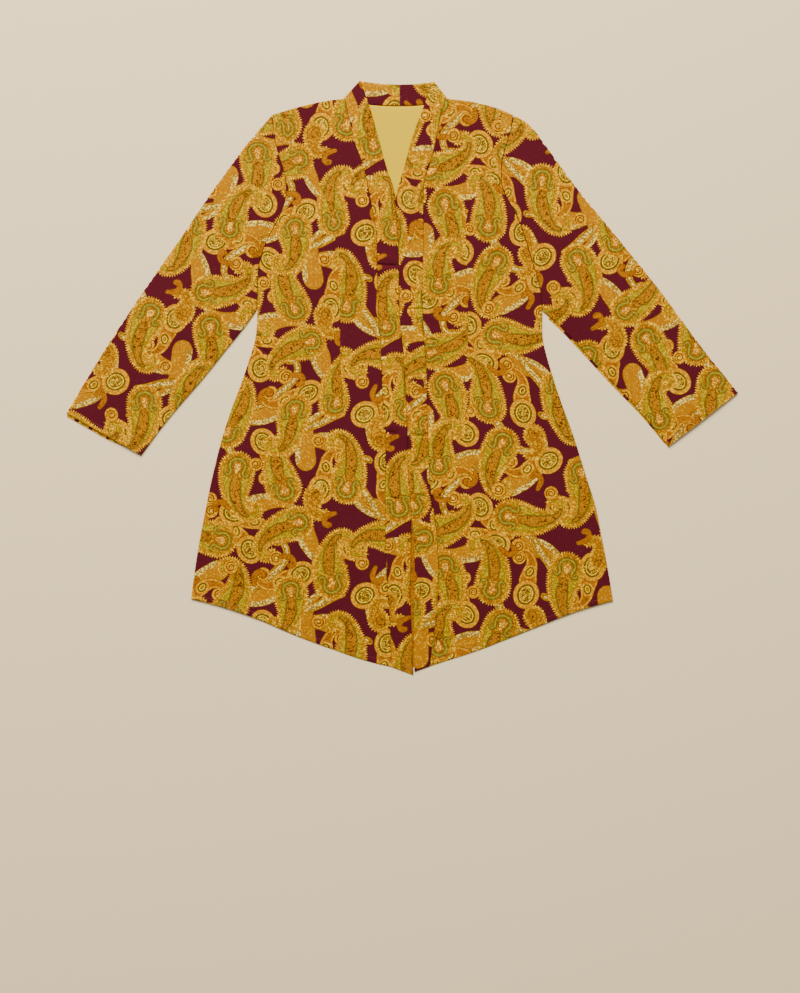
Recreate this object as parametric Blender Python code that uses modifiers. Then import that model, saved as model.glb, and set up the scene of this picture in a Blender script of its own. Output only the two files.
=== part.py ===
# A long-sleeved kebaya blouse, laid flat with its front up.
# The floor is z = 0, the collar points to +Y, and the wearer's right side is at -X.
# Sizes are in millimetres, and MM turns them into metres.

from collections import namedtuple
import math

import bmesh
import bpy
from mathutils import Vector

MM = 0.001
OBJECT_NAME = "kebaya_blouse"

# Cloth
CLOTH = 1.2  # the printed cloth, one layer
BAND_CLOTH = 1.6  # the collar and front band, cut double
LINING_CLOTH = 1.0
GAP = 0.3  # between two pieces at a seam, and between two layers

# How the front layer lies over what is under it
FRONT_REST = CLOTH + GAP  # under face of the front where it lies on the back
LINING_TOP = CLOTH + GAP + LINING_CLOTH
NECK_REST = LINING_TOP + GAP + 0.1  # under face of the bands over the lining
COLLAR_REST = BAND_CLOTH + GAP  # under face of the bands over the back of the collar
EDGE_FADE = 55.0  # the front rises from its side edges over this width
HEM_FADE = 26.0
LAP_FADE = 40.0  # length over which the lapped band comes down to its neighbour's height
HEM_DROP = 46.0  # the front point comes down to the floor over this length past the back hem
DEEPEST_DIP = -0.1  # no fold brings the front lower than this over the back

# Mesh density
ARM_ROWS = 14  # rows of a front beside its armhole
SIDE_ROWS = 36  # rows beside its side seam
FRONT_COLUMNS = 11
BAND_COLUMNS = (0.0, 0.28, 0.55, 0.8, 1.0)  # from the panel's seam to the free edge
BEND_ROWS = 4  # round the fold at the side of the neck
COLLAR_ROWS = 6
SLEEVE_ROWS = 24

Mark = namedtuple("Mark", "place x y")
Puff = namedtuple("Puff", "place x y half_width half_length height")
Fold = namedtuple("Fold", "place x1 y1 x2 y2 width height")
Side = namedtuple(
    "Side",
    "name sign armhole side shoulder seam edge hem collar_top collar_seam sleeve_top sleeve_under",
)

# The wearer's right half, at -X
RIGHT = Side(
    name="right",
    sign=1,
    armhole=(
        Mark("shoulder tip", -208, 421),
        Mark("upper chest", -205, 397),
        Mark("upper chest", -201, 370),
        Mark("chest", -195, 349),
        Mark("chest", -188, 328),
        Mark("deepest", -185, 307),
        Mark("below deepest", -187, 285),
        Mark("lower chest", -195, 261),
        Mark("lower chest", -209, 234),
        Mark("lower chest", -220, 211),
        Mark("near underarm", -228, 185),
        Mark("near underarm", -231, 155),
        Mark("underarm", -232, 109),
    ),
    side=(
        Mark("underarm", -232, 109),
        Mark("above waist", -234, 70),
        Mark("waist", -237, 55),
        Mark("waist", -244, 32),
        Mark("below waist", -256, -4),
        Mark("hip", -272, -46),
        Mark("hip", -287, -92),
        Mark("flare", -305, -163),
        Mark("flare", -317, -222),
        Mark("flare", -328, -282),
        Mark("hem corner", -338, -353),
    ),
    shoulder=(
        Mark("shoulder tip", -208, 421),
        Mark("mid shoulder", -164, 434),
        Mark("near neck", -117, 444),
        Mark("neck", -92, 447),
    ),
    seam=(
        Mark("neck", -92, 447),
        Mark("neck", -84, 414),
        Mark("chest", -77, 380),
        Mark("chest", -69, 358),
        Mark("chest", -61, 335),
        Mark("V point", -52, 292),
        Mark("first closure", -42, 239),
        Mark("first closure", -40, 183),
        Mark("second closure", -38, 100),
        Mark("waist", -34, 50),
        Mark("below waist", -32, -12),
        Mark("third closure", -27, -75),
        Mark("last closure", -27, -200),
        Mark("opening", -26, -291),
        Mark("opening", -19, -403),
        Mark("hem", -17, -462),
    ),
    edge=(
        Mark("collar top", -66, 475),
        Mark("neck", -53, 437),
        Mark("neck", -37, 380),
        Mark("neck", -25, 336),
        Mark("V point", -12, 295),
        Mark("V point", -10, 266),
        Mark("first closure", -6, 205),
        Mark("second closure", -4, 96),
        Mark("waist", 2, 39),
        Mark("below waist", 6, -27),
        Mark("third closure", 8, -72),
        Mark("hip", 10, -155),
        Mark("last closure", 14, -208),
        Mark("opening", 14, -240),
        Mark("opening", 13, -355),
        Mark("opening", 16, -430),
        Mark("front point", 18, -475),
    ),
    hem=(
        Mark("hem corner", -338, -353),
        Mark("side", -306, -361),
        Mark("side", -220, -390),
        Mark("middle", -177, -409),
        Mark("middle", -116, -432),
        Mark("near band", -55, -453),
        Mark("band seam", -17, -462),
    ),
    collar_top=(
        Mark("fold", -66, 475),
        Mark("side of neck", -40, 471.5),
        Mark("centre back", -4, 469.5),
    ),
    collar_seam=(
        Mark("fold", -92, 447),
        Mark("side of neck", -53, 437.5),
        Mark("centre back", -4, 436),
    ),
    sleeve_top=(
        Mark("shoulder tip", -208, 421),
        Mark("cap", -247, 376),
        Mark("upper arm", -306, 296),
        Mark("above elbow", -356, 222),
        Mark("elbow", -408, 148),
        Mark("forearm", -495, 15),
        Mark("cuff", -537, -56),
    ),
    sleeve_under=(
        Mark("underarm", -232, 109),
        Mark("upper arm", -252, 81),
        Mark("elbow", -282, 44),
        Mark("elbow", -309, 10),
        Mark("forearm", -380, -74),
        Mark("cuff", -417, -124),
    ),
)

# The wearer's left half, at +X
LEFT = Side(
    name="left",
    sign=-1,
    armhole=(
        Mark("shoulder tip", 177, 421),
        Mark("upper chest", 172, 391),
        Mark("upper chest", 166, 372),
        Mark("chest", 161, 355),
        Mark("chest", 158.5, 335),
        Mark("deepest", 158.5, 314),
        Mark("below deepest", 162, 300),
        Mark("lower chest", 169, 285),
        Mark("lower chest", 178, 270),
        Mark("lower chest", 188, 248),
        Mark("near underarm", 200, 212),
        Mark("near underarm", 212, 173),
        Mark("underarm", 221, 141),
        Mark("underarm", 224, 107),
    ),
    side=(
        Mark("underarm", 224, 107),
        Mark("above waist", 223.5, 85),
        Mark("waist", 224.5, 64),
        Mark("waist", 230, 39),
        Mark("below waist", 240, 5),
        Mark("hip", 254, -38),
        Mark("hip", 271, -84),
        Mark("flare", 296, -163),
        Mark("flare", 307, -197),
        Mark("flare", 319, -255),
        Mark("flare", 330, -313),
        Mark("hem corner", 337, -356),
    ),
    shoulder=(
        Mark("shoulder tip", 177, 421),
        Mark("mid shoulder", 156, 430),
        Mark("near neck", 116, 441),
        Mark("neck", 70, 447),
    ),
    seam=(
        Mark("neck", 70, 447),
        Mark("neck", 61, 416),
        Mark("chest", 54, 381),
        Mark("chest", 45, 345),
        Mark("chest", 36, 318),
        Mark("V point", 34, 290),
        Mark("first closure", 34, 228),
        Mark("first closure", 33, 190),
        Mark("second closure", 32, 132),
        Mark("waist", 35, 64),
        Mark("below waist", 39, 4),
        Mark("third closure", 40, -75),
        Mark("hip", 43, -136),
        Mark("last closure", 46, -185),
        Mark("last closure", 51, -215),
        Mark("opening", 57, -273),
        Mark("opening", 58, -332),
        Mark("opening", 54, -384),
        Mark("opening", 49, -420),
        Mark("hem", 44, -461),
    ),
    edge=(
        Mark("collar top", 49, 474),
        Mark("neck", 35, 437),
        Mark("neck", 17, 388),
        Mark("neck", 4, 341),
        Mark("V point", -6, 308),
        Mark("V point", -11, 285),
        Mark("lapped", -13, 262),
        Mark("lapped", -12, 205),
        Mark("lapped", -11, 96),
        Mark("lapped", -5, 39),
        Mark("lapped", -1, -27),
        Mark("lapped", 1, -72),
        Mark("lapped", 3, -155),
        Mark("lapped", 7, -205),
        Mark("opening", 16, -232),
        Mark("opening", 19, -265),
        Mark("opening", 19, -355),
        Mark("opening", 19, -430),
        Mark("hem", 19.4, -470),
    ),
    hem=(
        Mark("hem corner", 337, -356),
        Mark("side", 285, -371),
        Mark("middle", 218, -397),
        Mark("middle", 166, -418),
        Mark("near band", 112, -439),
        Mark("near band", 71, -452),
        Mark("band seam", 44, -461),
    ),
    collar_top=(
        Mark("fold", 49, 474),
        Mark("side of neck", 26, 471),
        Mark("centre back", -4, 469.5),
    ),
    collar_seam=(
        Mark("fold", 70, 447),
        Mark("side of neck", 35, 437.5),
        Mark("centre back", -4, 436),
    ),
    sleeve_top=(
        Mark("shoulder tip", 177, 421),
        Mark("cap", 197, 410),
        Mark("cap", 238, 360),
        Mark("upper arm", 274, 311),
        Mark("above elbow", 348, 220),
        Mark("elbow", 416, 135),
        Mark("forearm", 474, 56),
        Mark("cuff", 537, -23),
    ),
    sleeve_under=(
        Mark("underarm", 224, 107),
        Mark("upper arm", 248, 86),
        Mark("elbow", 280, 53),
        Mark("elbow", 324, 5),
        Mark("forearm", 380, -54),
        Mark("cuff", 425, -110),
    ),
)

# The back hem hangs level, above the points of the fronts
BACK_HEM = (
    Mark("hem corner", -338, -353),
    Mark("side", -200, -368),
    Mark("middle", 0, -374),
    Mark("side", 200, -369),
    Mark("hem corner", 337, -356),
)

# The lining shows in the V neck and runs on a little under the bands
LINING = (
    Mark("neck", -67, 438.5),
    Mark("neck", -36, 435.2),
    Mark("centre back", -4, 434.2),
    Mark("neck", 24, 435.2),
    Mark("neck", 49, 438.5),
    Mark("under left band", 31, 388),
    Mark("under left band", 18, 341),
    Mark("under left band", 6, 300),
    Mark("under left band", -2, 268),
    Mark("lowest", -9, 258),
    Mark("under right band", -21, 268),
    Mark("under right band", -27, 297),
    Mark("under right band", -39, 338),
    Mark("under right band", -51, 380),
)

# Air left under the front where its darts shape it
PUFFS = (
    Puff("right bust", -112, 205, 80, 110, 1.9),
    Puff("left bust", 108, 205, 78, 105, 1.9),
    Puff("right hip", -170, -170, 110, 150, 1.4),
    Puff("left hip", 175, -165, 110, 150, 1.5),
    Puff("front middle", 0, -40, 70, 330, 0.9),
)

# The largest folds of the body, ridges above 0 and troughs below
FOLDS = (
    Fold("right shoulder drag", -186, 372, -150, 322, 26, 1.6),
    Fold("right armhole drag", -176, 300, -162, 232, 26, 1.2),
    Fold("left armhole drag", 150, 300, 132, 236, 26, 1.2),
    Fold("left chest drag", 90, 420, 52, 316, 24, 1.4),
    Fold("right waist", -228, 52, -150, 34, 30, 1.7),
    Fold("right waist under", -220, 24, -160, 8, 28, -0.9),
    Fold("left waist", 214, 60, 140, 40, 30, 1.6),
    Fold("left waist under", 222, 20, 150, 6, 28, -0.9),
    Fold("right dart", -108, 236, -99, 34, 30, -1.0),
    Fold("left dart", 101, 240, 106, 20, 30, -1.0),
    Fold("first closure pull", -96, 172, 84, 184, 26, 1.5),
    Fold("second closure pull", 0, 116, 70, 90, 24, 1.5),
    Fold("waist closure pull", 20, 64, 92, 52, 24, 1.3),
    Fold("third closure pull", -80, -76, 84, -98, 26, 1.5),
    Fold("last closure pull, right", -74, -196, 0, -186, 24, 1.3),
    Fold("last closure pull, left", 34, -184, 110, -206, 26, 1.6),
    Fold("right flare wave", -236, -90, -276, -320, 46, 1.4),
    Fold("right flare wave", -130, -180, -150, -370, 50, 1.2),
    Fold("left flare wave", 226, -90, 280, -320, 46, 1.4),
    Fold("left flare wave", 128, -200, 160, -370, 50, 1.2),
)

# The largest folds of the sleeves
SLEEVE_FOLDS = (
    Fold("right cap", -236, 352, -206, 300, 34, 1.3),
    Fold("right underarm", -262, 150, -226, 205, 34, 1.6),
    Fold("right upper arm", -300, 190, -262, 120, 34, 1.2),
    Fold("right elbow", -392, 128, -318, 52, 36, 1.5),
    Fold("right elbow under", -420, 92, -352, 14, 34, -0.9),
    Fold("right forearm", -470, 2, -410, -56, 34, 1.2),
    Fold("left cap", 214, 356, 184, 300, 34, 1.3),
    Fold("left underarm", 252, 148, 214, 208, 34, 1.6),
    Fold("left upper arm", 300, 200, 262, 122, 34, 1.2),
    Fold("left elbow", 396, 118, 322, 50, 36, 1.5),
    Fold("left elbow under", 424, 84, 352, 10, 34, -0.9),
    Fold("left forearm", 476, 8, 420, -52, 34, 1.2),
)
SLEEVE_PUFF = 2.2  # air in the flattened tube
SLEEVE_PUFF_END = 0.45  # share of it left at the cuff
TIP_SETBACK = 1.6  # the sleeve's top fold starts this far out from the shoulder tip

PRINTED = (0.52, 0.25, 0.045)
BAND = (0.50, 0.23, 0.045)
YELLOW = (0.68, 0.50, 0.13)


def smooth_step(value):
    t = min(max(value, 0.0), 1.0)
    return t * t * (3.0 - 2.0 * t)


# A dense line through the marks, with the direction turning evenly at each one
def smooth_line(marks, samples=16):
    points = [Vector((m.x, m.y)) for m in marks]
    spans = [(b - a).length for a, b in zip(points, points[1:])]
    chords = [(b - a) / s for a, b, s in zip(points, points[1:], spans)]
    turns = [chords[0]]
    for i in range(1, len(chords)):
        turn = (chords[i - 1] * spans[i] + chords[i] * spans[i - 1]) / (spans[i - 1] + spans[i])
        turns.append(turn)
    turns.append(chords[-1])
    line = []
    for i, span in enumerate(spans):
        for k in range(samples):
            t = k / samples
            keep = 2 * t**3 - 3 * t**2 + 1
            leave = (t**3 - 2 * t**2 + t) * span
            arrive = (t**3 - t**2) * span
            line.append(
                points[i] * keep + turns[i] * leave + points[i + 1] * (1 - keep) + turns[i + 1] * arrive
            )
    line.append(points[-1])
    return line


# Points at even steps along a line, or at the given shares of its length
def along(line, shares):
    reach = [0.0]
    for a, b in zip(line, line[1:]):
        reach.append(reach[-1] + (b - a).length)
    found = []
    k = 0
    for share in shares:
        want = share * reach[-1]
        while k < len(line) - 2 and reach[k + 1] < want:
            k += 1
        span = reach[k + 1] - reach[k]
        found.append(line[k].lerp(line[k + 1], (want - reach[k]) / span))
    return found


def even(count):
    return [i / count for i in range(count + 1)]


# Each point moved to the left of the line's direction
def moved_left(points, distance):
    moved = []
    for i, point in enumerate(points):
        ahead = points[min(i + 1, len(points) - 1)]
        behind = points[max(i - 1, 0)]
        way = (ahead - behind).normalized()
        moved.append(point + Vector((-way.y, way.x)) * distance)
    return moved


# The armhole and the side seam, a point for each row of the front
def flank_rows(side):
    arm = along(smooth_line(side.armhole), even(ARM_ROWS))
    return arm + along(smooth_line(side.side), even(SIDE_ROWS))[1:]


def seam_rows(side):
    rows = ARM_ROWS + SIDE_ROWS
    return along(smooth_line(side.seam), even(rows)), along(smooth_line(side.edge), even(rows))


# Where a line that runs down the garment stands at a height y
def across_at(line, y):
    for a, b in zip(line, line[1:]):
        if b.y <= y <= a.y:
            return a.lerp(b, (a.y - y) / max(a.y - b.y, 1e-6)).x
    return line[0].x if y > line[0].y else line[-1].x


# Where a line that runs across the garment stands at a place x
def height_at(line, x):
    ordered = sorted(line, key=lambda p: p.x)
    for a, b in zip(ordered, ordered[1:]):
        if a.x <= x <= b.x:
            return a.lerp(b, (x - a.x) / max(b.x - a.x, 1e-6)).y
    return ordered[0].y if x < ordered[0].x else ordered[-1].y


OUTLINES = {}
for half in (RIGHT, LEFT):
    OUTLINES[half.name] = {
        "flank": smooth_line(half.armhole)[:-1] + smooth_line(half.side),
        "shoulder": smooth_line(half.shoulder),
        "hem": smooth_line(half.hem),
    }
BACK_HEM_LINE = smooth_line(BACK_HEM)
FRONT_HEM_LINE = (
    smooth_line(RIGHT.hem) + smooth_line((RIGHT.hem[-1], RIGHT.edge[-1])) + smooth_line(LEFT.hem)
)


def fold_height(folds, x, y):
    total = 0.0
    for fold in folds:
        start = Vector((fold.x1, fold.y1))
        run = Vector((fold.x2, fold.y2)) - start
        place = Vector((x, y)) - start
        share = place.dot(run) / run.length_squared
        off = (place - run * share).length
        if off > fold.width or not -0.35 < share < 1.35:
            continue
        ends = smooth_step((share + 0.35) / 0.5) * smooth_step((1.35 - share) / 0.5)
        total += fold.height * ends * (0.5 + 0.5 * math.cos(math.pi * off / fold.width))
    return total


def puff_height(x, y):
    total = 0.0
    for puff in PUFFS:
        away = math.hypot((x - puff.x) / puff.half_width, (y - puff.y) / puff.half_length)
        total += puff.height * smooth_step(1.25 - away)
    return total


# Height of the under face of the front layer
def front_rest(x, y):
    outline = OUTLINES["right"] if x < 0 else OUTLINES["left"]
    from_side = abs(x - across_at(outline["flank"], y))
    shoulder_drop = height_at(outline["shoulder"], x) - y
    hem_rise = y - height_at(FRONT_HEM_LINE, x)
    open_share = smooth_step(from_side / EDGE_FADE) * smooth_step(shoulder_drop / EDGE_FADE)
    open_share *= smooth_step(hem_rise / HEM_FADE)
    rest = FRONT_REST + open_share * max(puff_height(x, y) + fold_height(FOLDS, x, y), DEEPEST_DIP)
    beside_neck = smooth_step((125 - abs(x + 8)) / 55) * smooth_step((y - 190) / 55)
    rest += (NECK_REST - FRONT_REST) * beside_neck * smooth_step((462 - y) / 30)
    rest += (COLLAR_REST - FRONT_REST) * beside_neck * smooth_step((y - 432) / 30)
    past_back_hem = height_at(BACK_HEM_LINE, x) - y
    return rest - FRONT_REST * smooth_step((past_back_hem - 6) / HEM_DROP)


def new_object(name, mesh, colour):
    material = bpy.data.materials.new(name + "_cloth")
    material.use_nodes = True
    surface = material.node_tree.nodes["Principled BSDF"]
    surface.inputs["Base Color"].default_value = (*colour, 1.0)
    surface.inputs["Roughness"].default_value = 0.55
    surface.inputs["Metallic"].default_value = 0.0
    mesh.materials.append(material)
    mesh.shade_smooth()
    mesh.set_sharp_from_angle(angle=math.radians(40))
    piece = bpy.data.objects.new(name, mesh)
    parts.objects.link(piece)
    return piece


def add_wall(piece, thickness, offset):
    wall = piece.modifiers.new("wall", "SOLIDIFY")
    wall.thickness = thickness * MM
    wall.offset = offset
    wall.use_even_offset = True
    wall.use_quality_normals = True
    wall.use_rim = True


# A grid whose rows are lists of points, all of one length
def sheet_mesh(name, rows, face_up=True):
    columns = len(rows[0])
    mesh = bpy.data.meshes.new(name)
    form = bmesh.new()
    bmesh.ops.create_grid(form, x_segments=columns - 1, y_segments=len(rows) - 1, size=1)
    form.verts.ensure_lookup_table()
    for i, vert in enumerate(form.verts):
        vert.co = Vector(rows[i // columns][i % columns]) * MM
    form.normal_update()
    lift = sum(face.normal.z * face.calc_area() for face in form.faces)
    if face_up and lift < 0:
        bmesh.ops.reverse_faces(form, faces=form.faces[:])
    form.to_mesh(mesh)
    form.free()
    return mesh


# A surface through four edges, each given as a list of points
def patch(left, right, top, bottom, row_shares, column_shares):
    corners = (left[0], right[0], left[-1], right[-1])
    rows = []
    for i, v in enumerate(row_shares):
        row = []
        for j, u in enumerate(column_shares):
            ruled = left[i].lerp(right[i], u)
            upper = top[j] - corners[0].lerp(corners[1], u)
            lower = bottom[j] - corners[2].lerp(corners[3], u)
            row.append(ruled + upper * (1 - v) + lower * v)
        rows.append(row)
    return rows


def build_front(side):
    flank = flank_rows(side)
    seam = seam_rows(side)[0]
    inward = side.sign * GAP / 2
    left = moved_left(flank, inward)
    right = moved_left(seam, -inward)
    column_shares = even(FRONT_COLUMNS)
    row_shares = even(len(flank) - 1)
    top = along(smooth_line(side.shoulder), column_shares)
    bottom = along(smooth_line(side.hem), column_shares)
    top[0], top[-1] = left[0], right[0]
    bottom[0], bottom[-1] = left[-1], right[-1]
    flat = patch(left, right, top, bottom, row_shares, column_shares)
    rows = [[(p.x, p.y, front_rest(p.x, p.y)) for p in row] for row in flat]
    piece = new_object("front_" + side.name, sheet_mesh("front_" + side.name, rows), PRINTED)
    add_wall(piece, CLOTH, 1)


# How far the lapped band stands above its neighbour
def lap_lift(side, share, y):
    if side is not RIGHT:
        return 0.0
    closed = smooth_step((345 - y) / LAP_FADE) * smooth_step((y + 278) / LAP_FADE)
    return closed * (BAND_CLOTH + GAP) * smooth_step(share / 0.78)


def build_collar_band(side):
    seam, edge = seam_rows(side)
    outer = moved_left(seam, side.sign * GAP / 2)
    rows = []
    for a, b in zip(reversed(outer), reversed(edge)):
        row = []
        for share in BAND_COLUMNS:
            p = a.lerp(b, share)
            height = front_rest(p.x, p.y) + lap_lift(side, share, p.y) + BAND_CLOTH / 2
            row.append((p.x, p.y, height))
        rows.append(row)
    fold_way = (edge[0] - outer[0]).normalized()
    out = Vector((-fold_way.y, fold_way.x)) * side.sign
    collar_middle = BAND_CLOTH / 2
    for k in range(1, BEND_ROWS + 1):
        turn = math.pi * k / (BEND_ROWS + 1)
        row = []
        for share, above in zip(BAND_COLUMNS, rows[len(outer) - 1]):
            radius = (above[2] - collar_middle) / 2
            height = collar_middle + radius * (1 + math.cos(turn))
            reach = out * radius * math.sin(turn)
            row.append((above[0] + reach.x, above[1] + reach.y, height))
        rows.append(row)
    shares = even(COLLAR_ROWS)
    seam_back = along(smooth_line(side.collar_seam), shares)
    top_back = along(smooth_line(side.collar_top), shares)
    for k in range(COLLAR_ROWS + 1):
        a, b = seam_back[k], top_back[k]
        if k == 0:
            a, b = outer[0], edge[0]
        if k == COLLAR_ROWS:
            a = a - Vector((side.sign * GAP / 2, 0))
            b = b - Vector((side.sign * GAP / 2, 0))
        points = [a.lerp(b, share) for share in BAND_COLUMNS]
        rows.append([(p.x, p.y, collar_middle) for p in points])
    name = "collar_band_" + side.name
    piece = new_object(name, sheet_mesh(name, rows), BAND)
    add_wall(piece, BAND_CLOTH, 0)


# One ring of a flattened sleeve, from its top fold over the front to its under fold and back
def sleeve_ring(points, share):
    ends = len(points) - 1
    open_share = smooth_step(share / 0.14) * (1 - (1 - SLEEVE_PUFF_END) * smooth_step((share - 0.5) / 0.5))
    tops = []
    for j, p in enumerate(points):
        belly = math.sin(math.pi * j / ends) ** 0.8
        raised = SLEEVE_PUFF + max(fold_height(SLEEVE_FOLDS, p.x, p.y), -1.0)
        tops.append(2 * CLOTH + GAP + open_share * belly * raised)
    across = (points[-1] - points[0]).normalized()
    inset = across * (CLOTH + GAP / 2)
    places = [points[0] + inset] + points[1:-1] + [points[-1] - inset]
    upper = [(p.x, p.y, z) for p, z in zip(places, tops)]
    lower = [(p.x, p.y, 0.0) for p in reversed(places)]
    under_fold = [(points[-1].x, points[-1].y, tops[-1] / 2)]
    top_fold = [(points[0].x, points[0].y, tops[0] / 2)]
    return upper + under_fold + lower + top_fold


def build_sleeve(side):
    start = moved_left(flank_rows(side), -side.sign * GAP / 2)[: ARM_ROWS + 1]
    shares = even(SLEEVE_ROWS)
    top = along(smooth_line(side.sleeve_top), shares)
    under = along(smooth_line(side.sleeve_under), shares)
    top[0], under[0] = start[0], start[-1]
    tip = start[0] + (top[1] - top[0]).normalized() * TIP_SETBACK
    rings = []
    for share, a, b in zip(shares, top, under):
        points = []
        for j, first in enumerate(start):
            t = j / ARM_ROWS
            bulge = first - start[0].lerp(start[-1], t)
            points.append(a.lerp(b, t) + bulge * (1 - share) ** 2)
        if share == 0:
            points[0] = tip
        ring = sleeve_ring(points, share)
        rings.append(ring + ring[:1])
    name = "sleeve_" + side.name
    mesh = sheet_mesh(name, rings, face_up=False)
    form = bmesh.new()
    form.from_mesh(mesh)
    bmesh.ops.remove_doubles(form, verts=form.verts, dist=0.00001)
    under_side = sum(f.normal.z * f.calc_area() for f in form.faces if f.calc_center_median().z < 0.1 * MM)
    if under_side > 0:
        bmesh.ops.reverse_faces(form, faces=form.faces[:])
    form.to_mesh(mesh)
    form.free()
    piece = new_object(name, mesh, PRINTED)
    add_wall(piece, CLOTH, -1)


# A flat piece cut to an outline, lying at a height
def build_flat(name, outline, height, thickness, colour):
    mesh = bpy.data.meshes.new(name)
    form = bmesh.new()
    corners = [form.verts.new((p.x * MM, p.y * MM, height * MM)) for p in outline]
    face = form.faces.new(corners)
    face.normal_update()
    if face.normal.z < 0:
        bmesh.ops.reverse_faces(form, faces=[face])
    form.to_mesh(mesh)
    form.free()
    piece = new_object(name, mesh, colour)
    add_wall(piece, thickness, 1)


def build_back():
    outline = []
    outline += moved_left(flank_rows(RIGHT), GAP / 2)
    outline += BACK_HEM_LINE[8:-8:8]
    outline += reversed(moved_left(flank_rows(LEFT), -GAP / 2))
    outline += along(smooth_line(LEFT.shoulder), even(5))[1:-1]
    neck_left = along(smooth_line(LEFT.collar_seam), even(6))
    neck_right = along(smooth_line(RIGHT.collar_seam), even(6))
    neck = neck_left + list(reversed(neck_right))[1:]
    outline += moved_left(neck, GAP)
    outline += list(reversed(along(smooth_line(RIGHT.shoulder), even(5))))[1:-1]
    build_flat("back", outline, 0.0, CLOTH, PRINTED)


for old in list(bpy.data.objects):
    bpy.data.objects.remove(old, do_unlink=True)
parts = bpy.data.collections.new(OBJECT_NAME)
bpy.context.scene.collection.children.link(parts)

build_back()
build_flat("back_lining", [Vector((m.x, m.y)) for m in LINING], CLOTH + GAP, LINING_CLOTH, YELLOW)
for half in (RIGHT, LEFT):
    build_front(half)
    build_collar_band(half)
    build_sleeve(half)
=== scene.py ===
import math

import bmesh
import bpy
import numpy as np
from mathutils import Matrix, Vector
from mathutils.bvhtree import BVHTree
from mathutils.geometry import delaunay_2d_cdt
from mathutils.kdtree import KDTree


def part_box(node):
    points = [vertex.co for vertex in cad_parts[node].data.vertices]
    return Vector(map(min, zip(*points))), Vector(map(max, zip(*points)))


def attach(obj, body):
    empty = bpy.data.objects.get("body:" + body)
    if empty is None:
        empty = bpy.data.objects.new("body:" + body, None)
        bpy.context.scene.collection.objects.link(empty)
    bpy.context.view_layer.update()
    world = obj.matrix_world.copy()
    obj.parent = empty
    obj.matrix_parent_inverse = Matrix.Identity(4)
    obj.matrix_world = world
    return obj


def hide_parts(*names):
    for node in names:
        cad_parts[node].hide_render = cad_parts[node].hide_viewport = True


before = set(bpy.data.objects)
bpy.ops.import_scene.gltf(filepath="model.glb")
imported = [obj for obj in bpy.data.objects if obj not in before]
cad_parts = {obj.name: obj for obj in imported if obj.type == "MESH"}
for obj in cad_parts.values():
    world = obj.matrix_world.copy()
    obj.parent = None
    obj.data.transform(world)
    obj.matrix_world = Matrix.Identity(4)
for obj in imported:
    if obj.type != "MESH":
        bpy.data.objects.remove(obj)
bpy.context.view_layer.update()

# Sizes are in millimetres, and mm turns them into metres.
mm = 0.001

# Camera, straight above, with the same share of floor round the blouse as in the photo

cameraSizes = {
    "middle": (-3.6, -189.3),  # what the centre of the picture looks at
    "tall": 1588.8,            # floor that the long side of the picture covers
    "height": 4200.0,
    "sensor": 36.0,
    "sight": 100000.0,
}


def addObject(name, data):
    made = bpy.data.objects.new(name, data)
    bpy.context.scene.collection.objects.link(made)
    return made


def makeCamera():
    data = bpy.data.cameras.new("aboveCamera")
    data.sensor_width = cameraSizes["sensor"]
    data.lens = cameraSizes["sensor"] * cameraSizes["height"] / cameraSizes["tall"]
    data.clip_end = cameraSizes["sight"] * mm
    camera = addObject("aboveCamera", data)
    x, y = cameraSizes["middle"]
    camera.location = (x * mm, y * mm, cameraSizes["height"] * mm)
    bpy.context.scene.camera = camera


makeCamera()
print("camera ready")


# Colours are sRGB hex values, and the shaders want linear ones
def linear(hexColour):
    parts = [int(hexColour[i : i + 2], 16) / 255 for i in (1, 3, 5)]
    return [c / 12.92 if c <= 0.04045 else ((c + 0.055) / 1.055) ** 2.4 for c in parts] + [1.0]


# Adds a node with its settings and its links: a value sets a socket, a socket is linked to it
def addNode(tree, kind, settings=None, **inputs):
    node = tree.nodes.new(kind)
    for name, value in (settings or {}).items():
        setattr(node, name, value)
    for name, value in inputs.items():
        key = int(name[1:]) if name[0] == "i" and name[1:].isdigit() else name.replace("_", " ")
        if isinstance(value, bpy.types.NodeSocket):
            tree.links.new(value, node.inputs[key])
        else:
            node.inputs[key].default_value = value
    return node


# The print: lines and loops in cloth millimetres

motifSizes = {"pointStep": 3.4, "tooth": 4.2, "toothPitch": 3.6, "fineStep": 2.6}


# A line that starts at a point with a heading and turns evenly along each stretch
def bendLine(stretches, start=(0.0, 0.0), heading=90.0, step=2.0):
    points = [np.array(start, float)]
    angle = math.radians(heading)
    for length, turn in stretches:
        count = max(2, round(length / step))
        for _ in range(count):
            angle += math.radians(turn) / count / 2
            way = np.array((math.cos(angle), math.sin(angle)))
            points.append(points[-1] + way * length / count)
            angle += math.radians(turn) / count / 2
    return np.array(points)


def reachOf(points):
    return np.concatenate(([0.0], np.cumsum(np.linalg.norm(np.diff(points, axis=0), axis=1))))


def pointsAt(points, places):
    reach = reachOf(points)
    return np.stack([np.interp(places, reach, points[:, k]) for k in range(points.shape[1])], 1)


def sideways(points):
    way = np.gradient(points, axis=0)
    way /= np.linalg.norm(way, axis=1)[:, None] + 1e-12
    return np.stack((-way[:, 1], way[:, 0]), 1)


# Sideways directions at places along a line
def sidewaysAt(points, places):
    reach, normals = reachOf(points), sideways(points)
    return np.stack([np.interp(places, reach, normals[:, k]) for k in (0, 1)], 1)


# A loop with its first point again at its end
def closedLine(loop):
    return np.concatenate((loop, loop[:1]))


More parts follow.
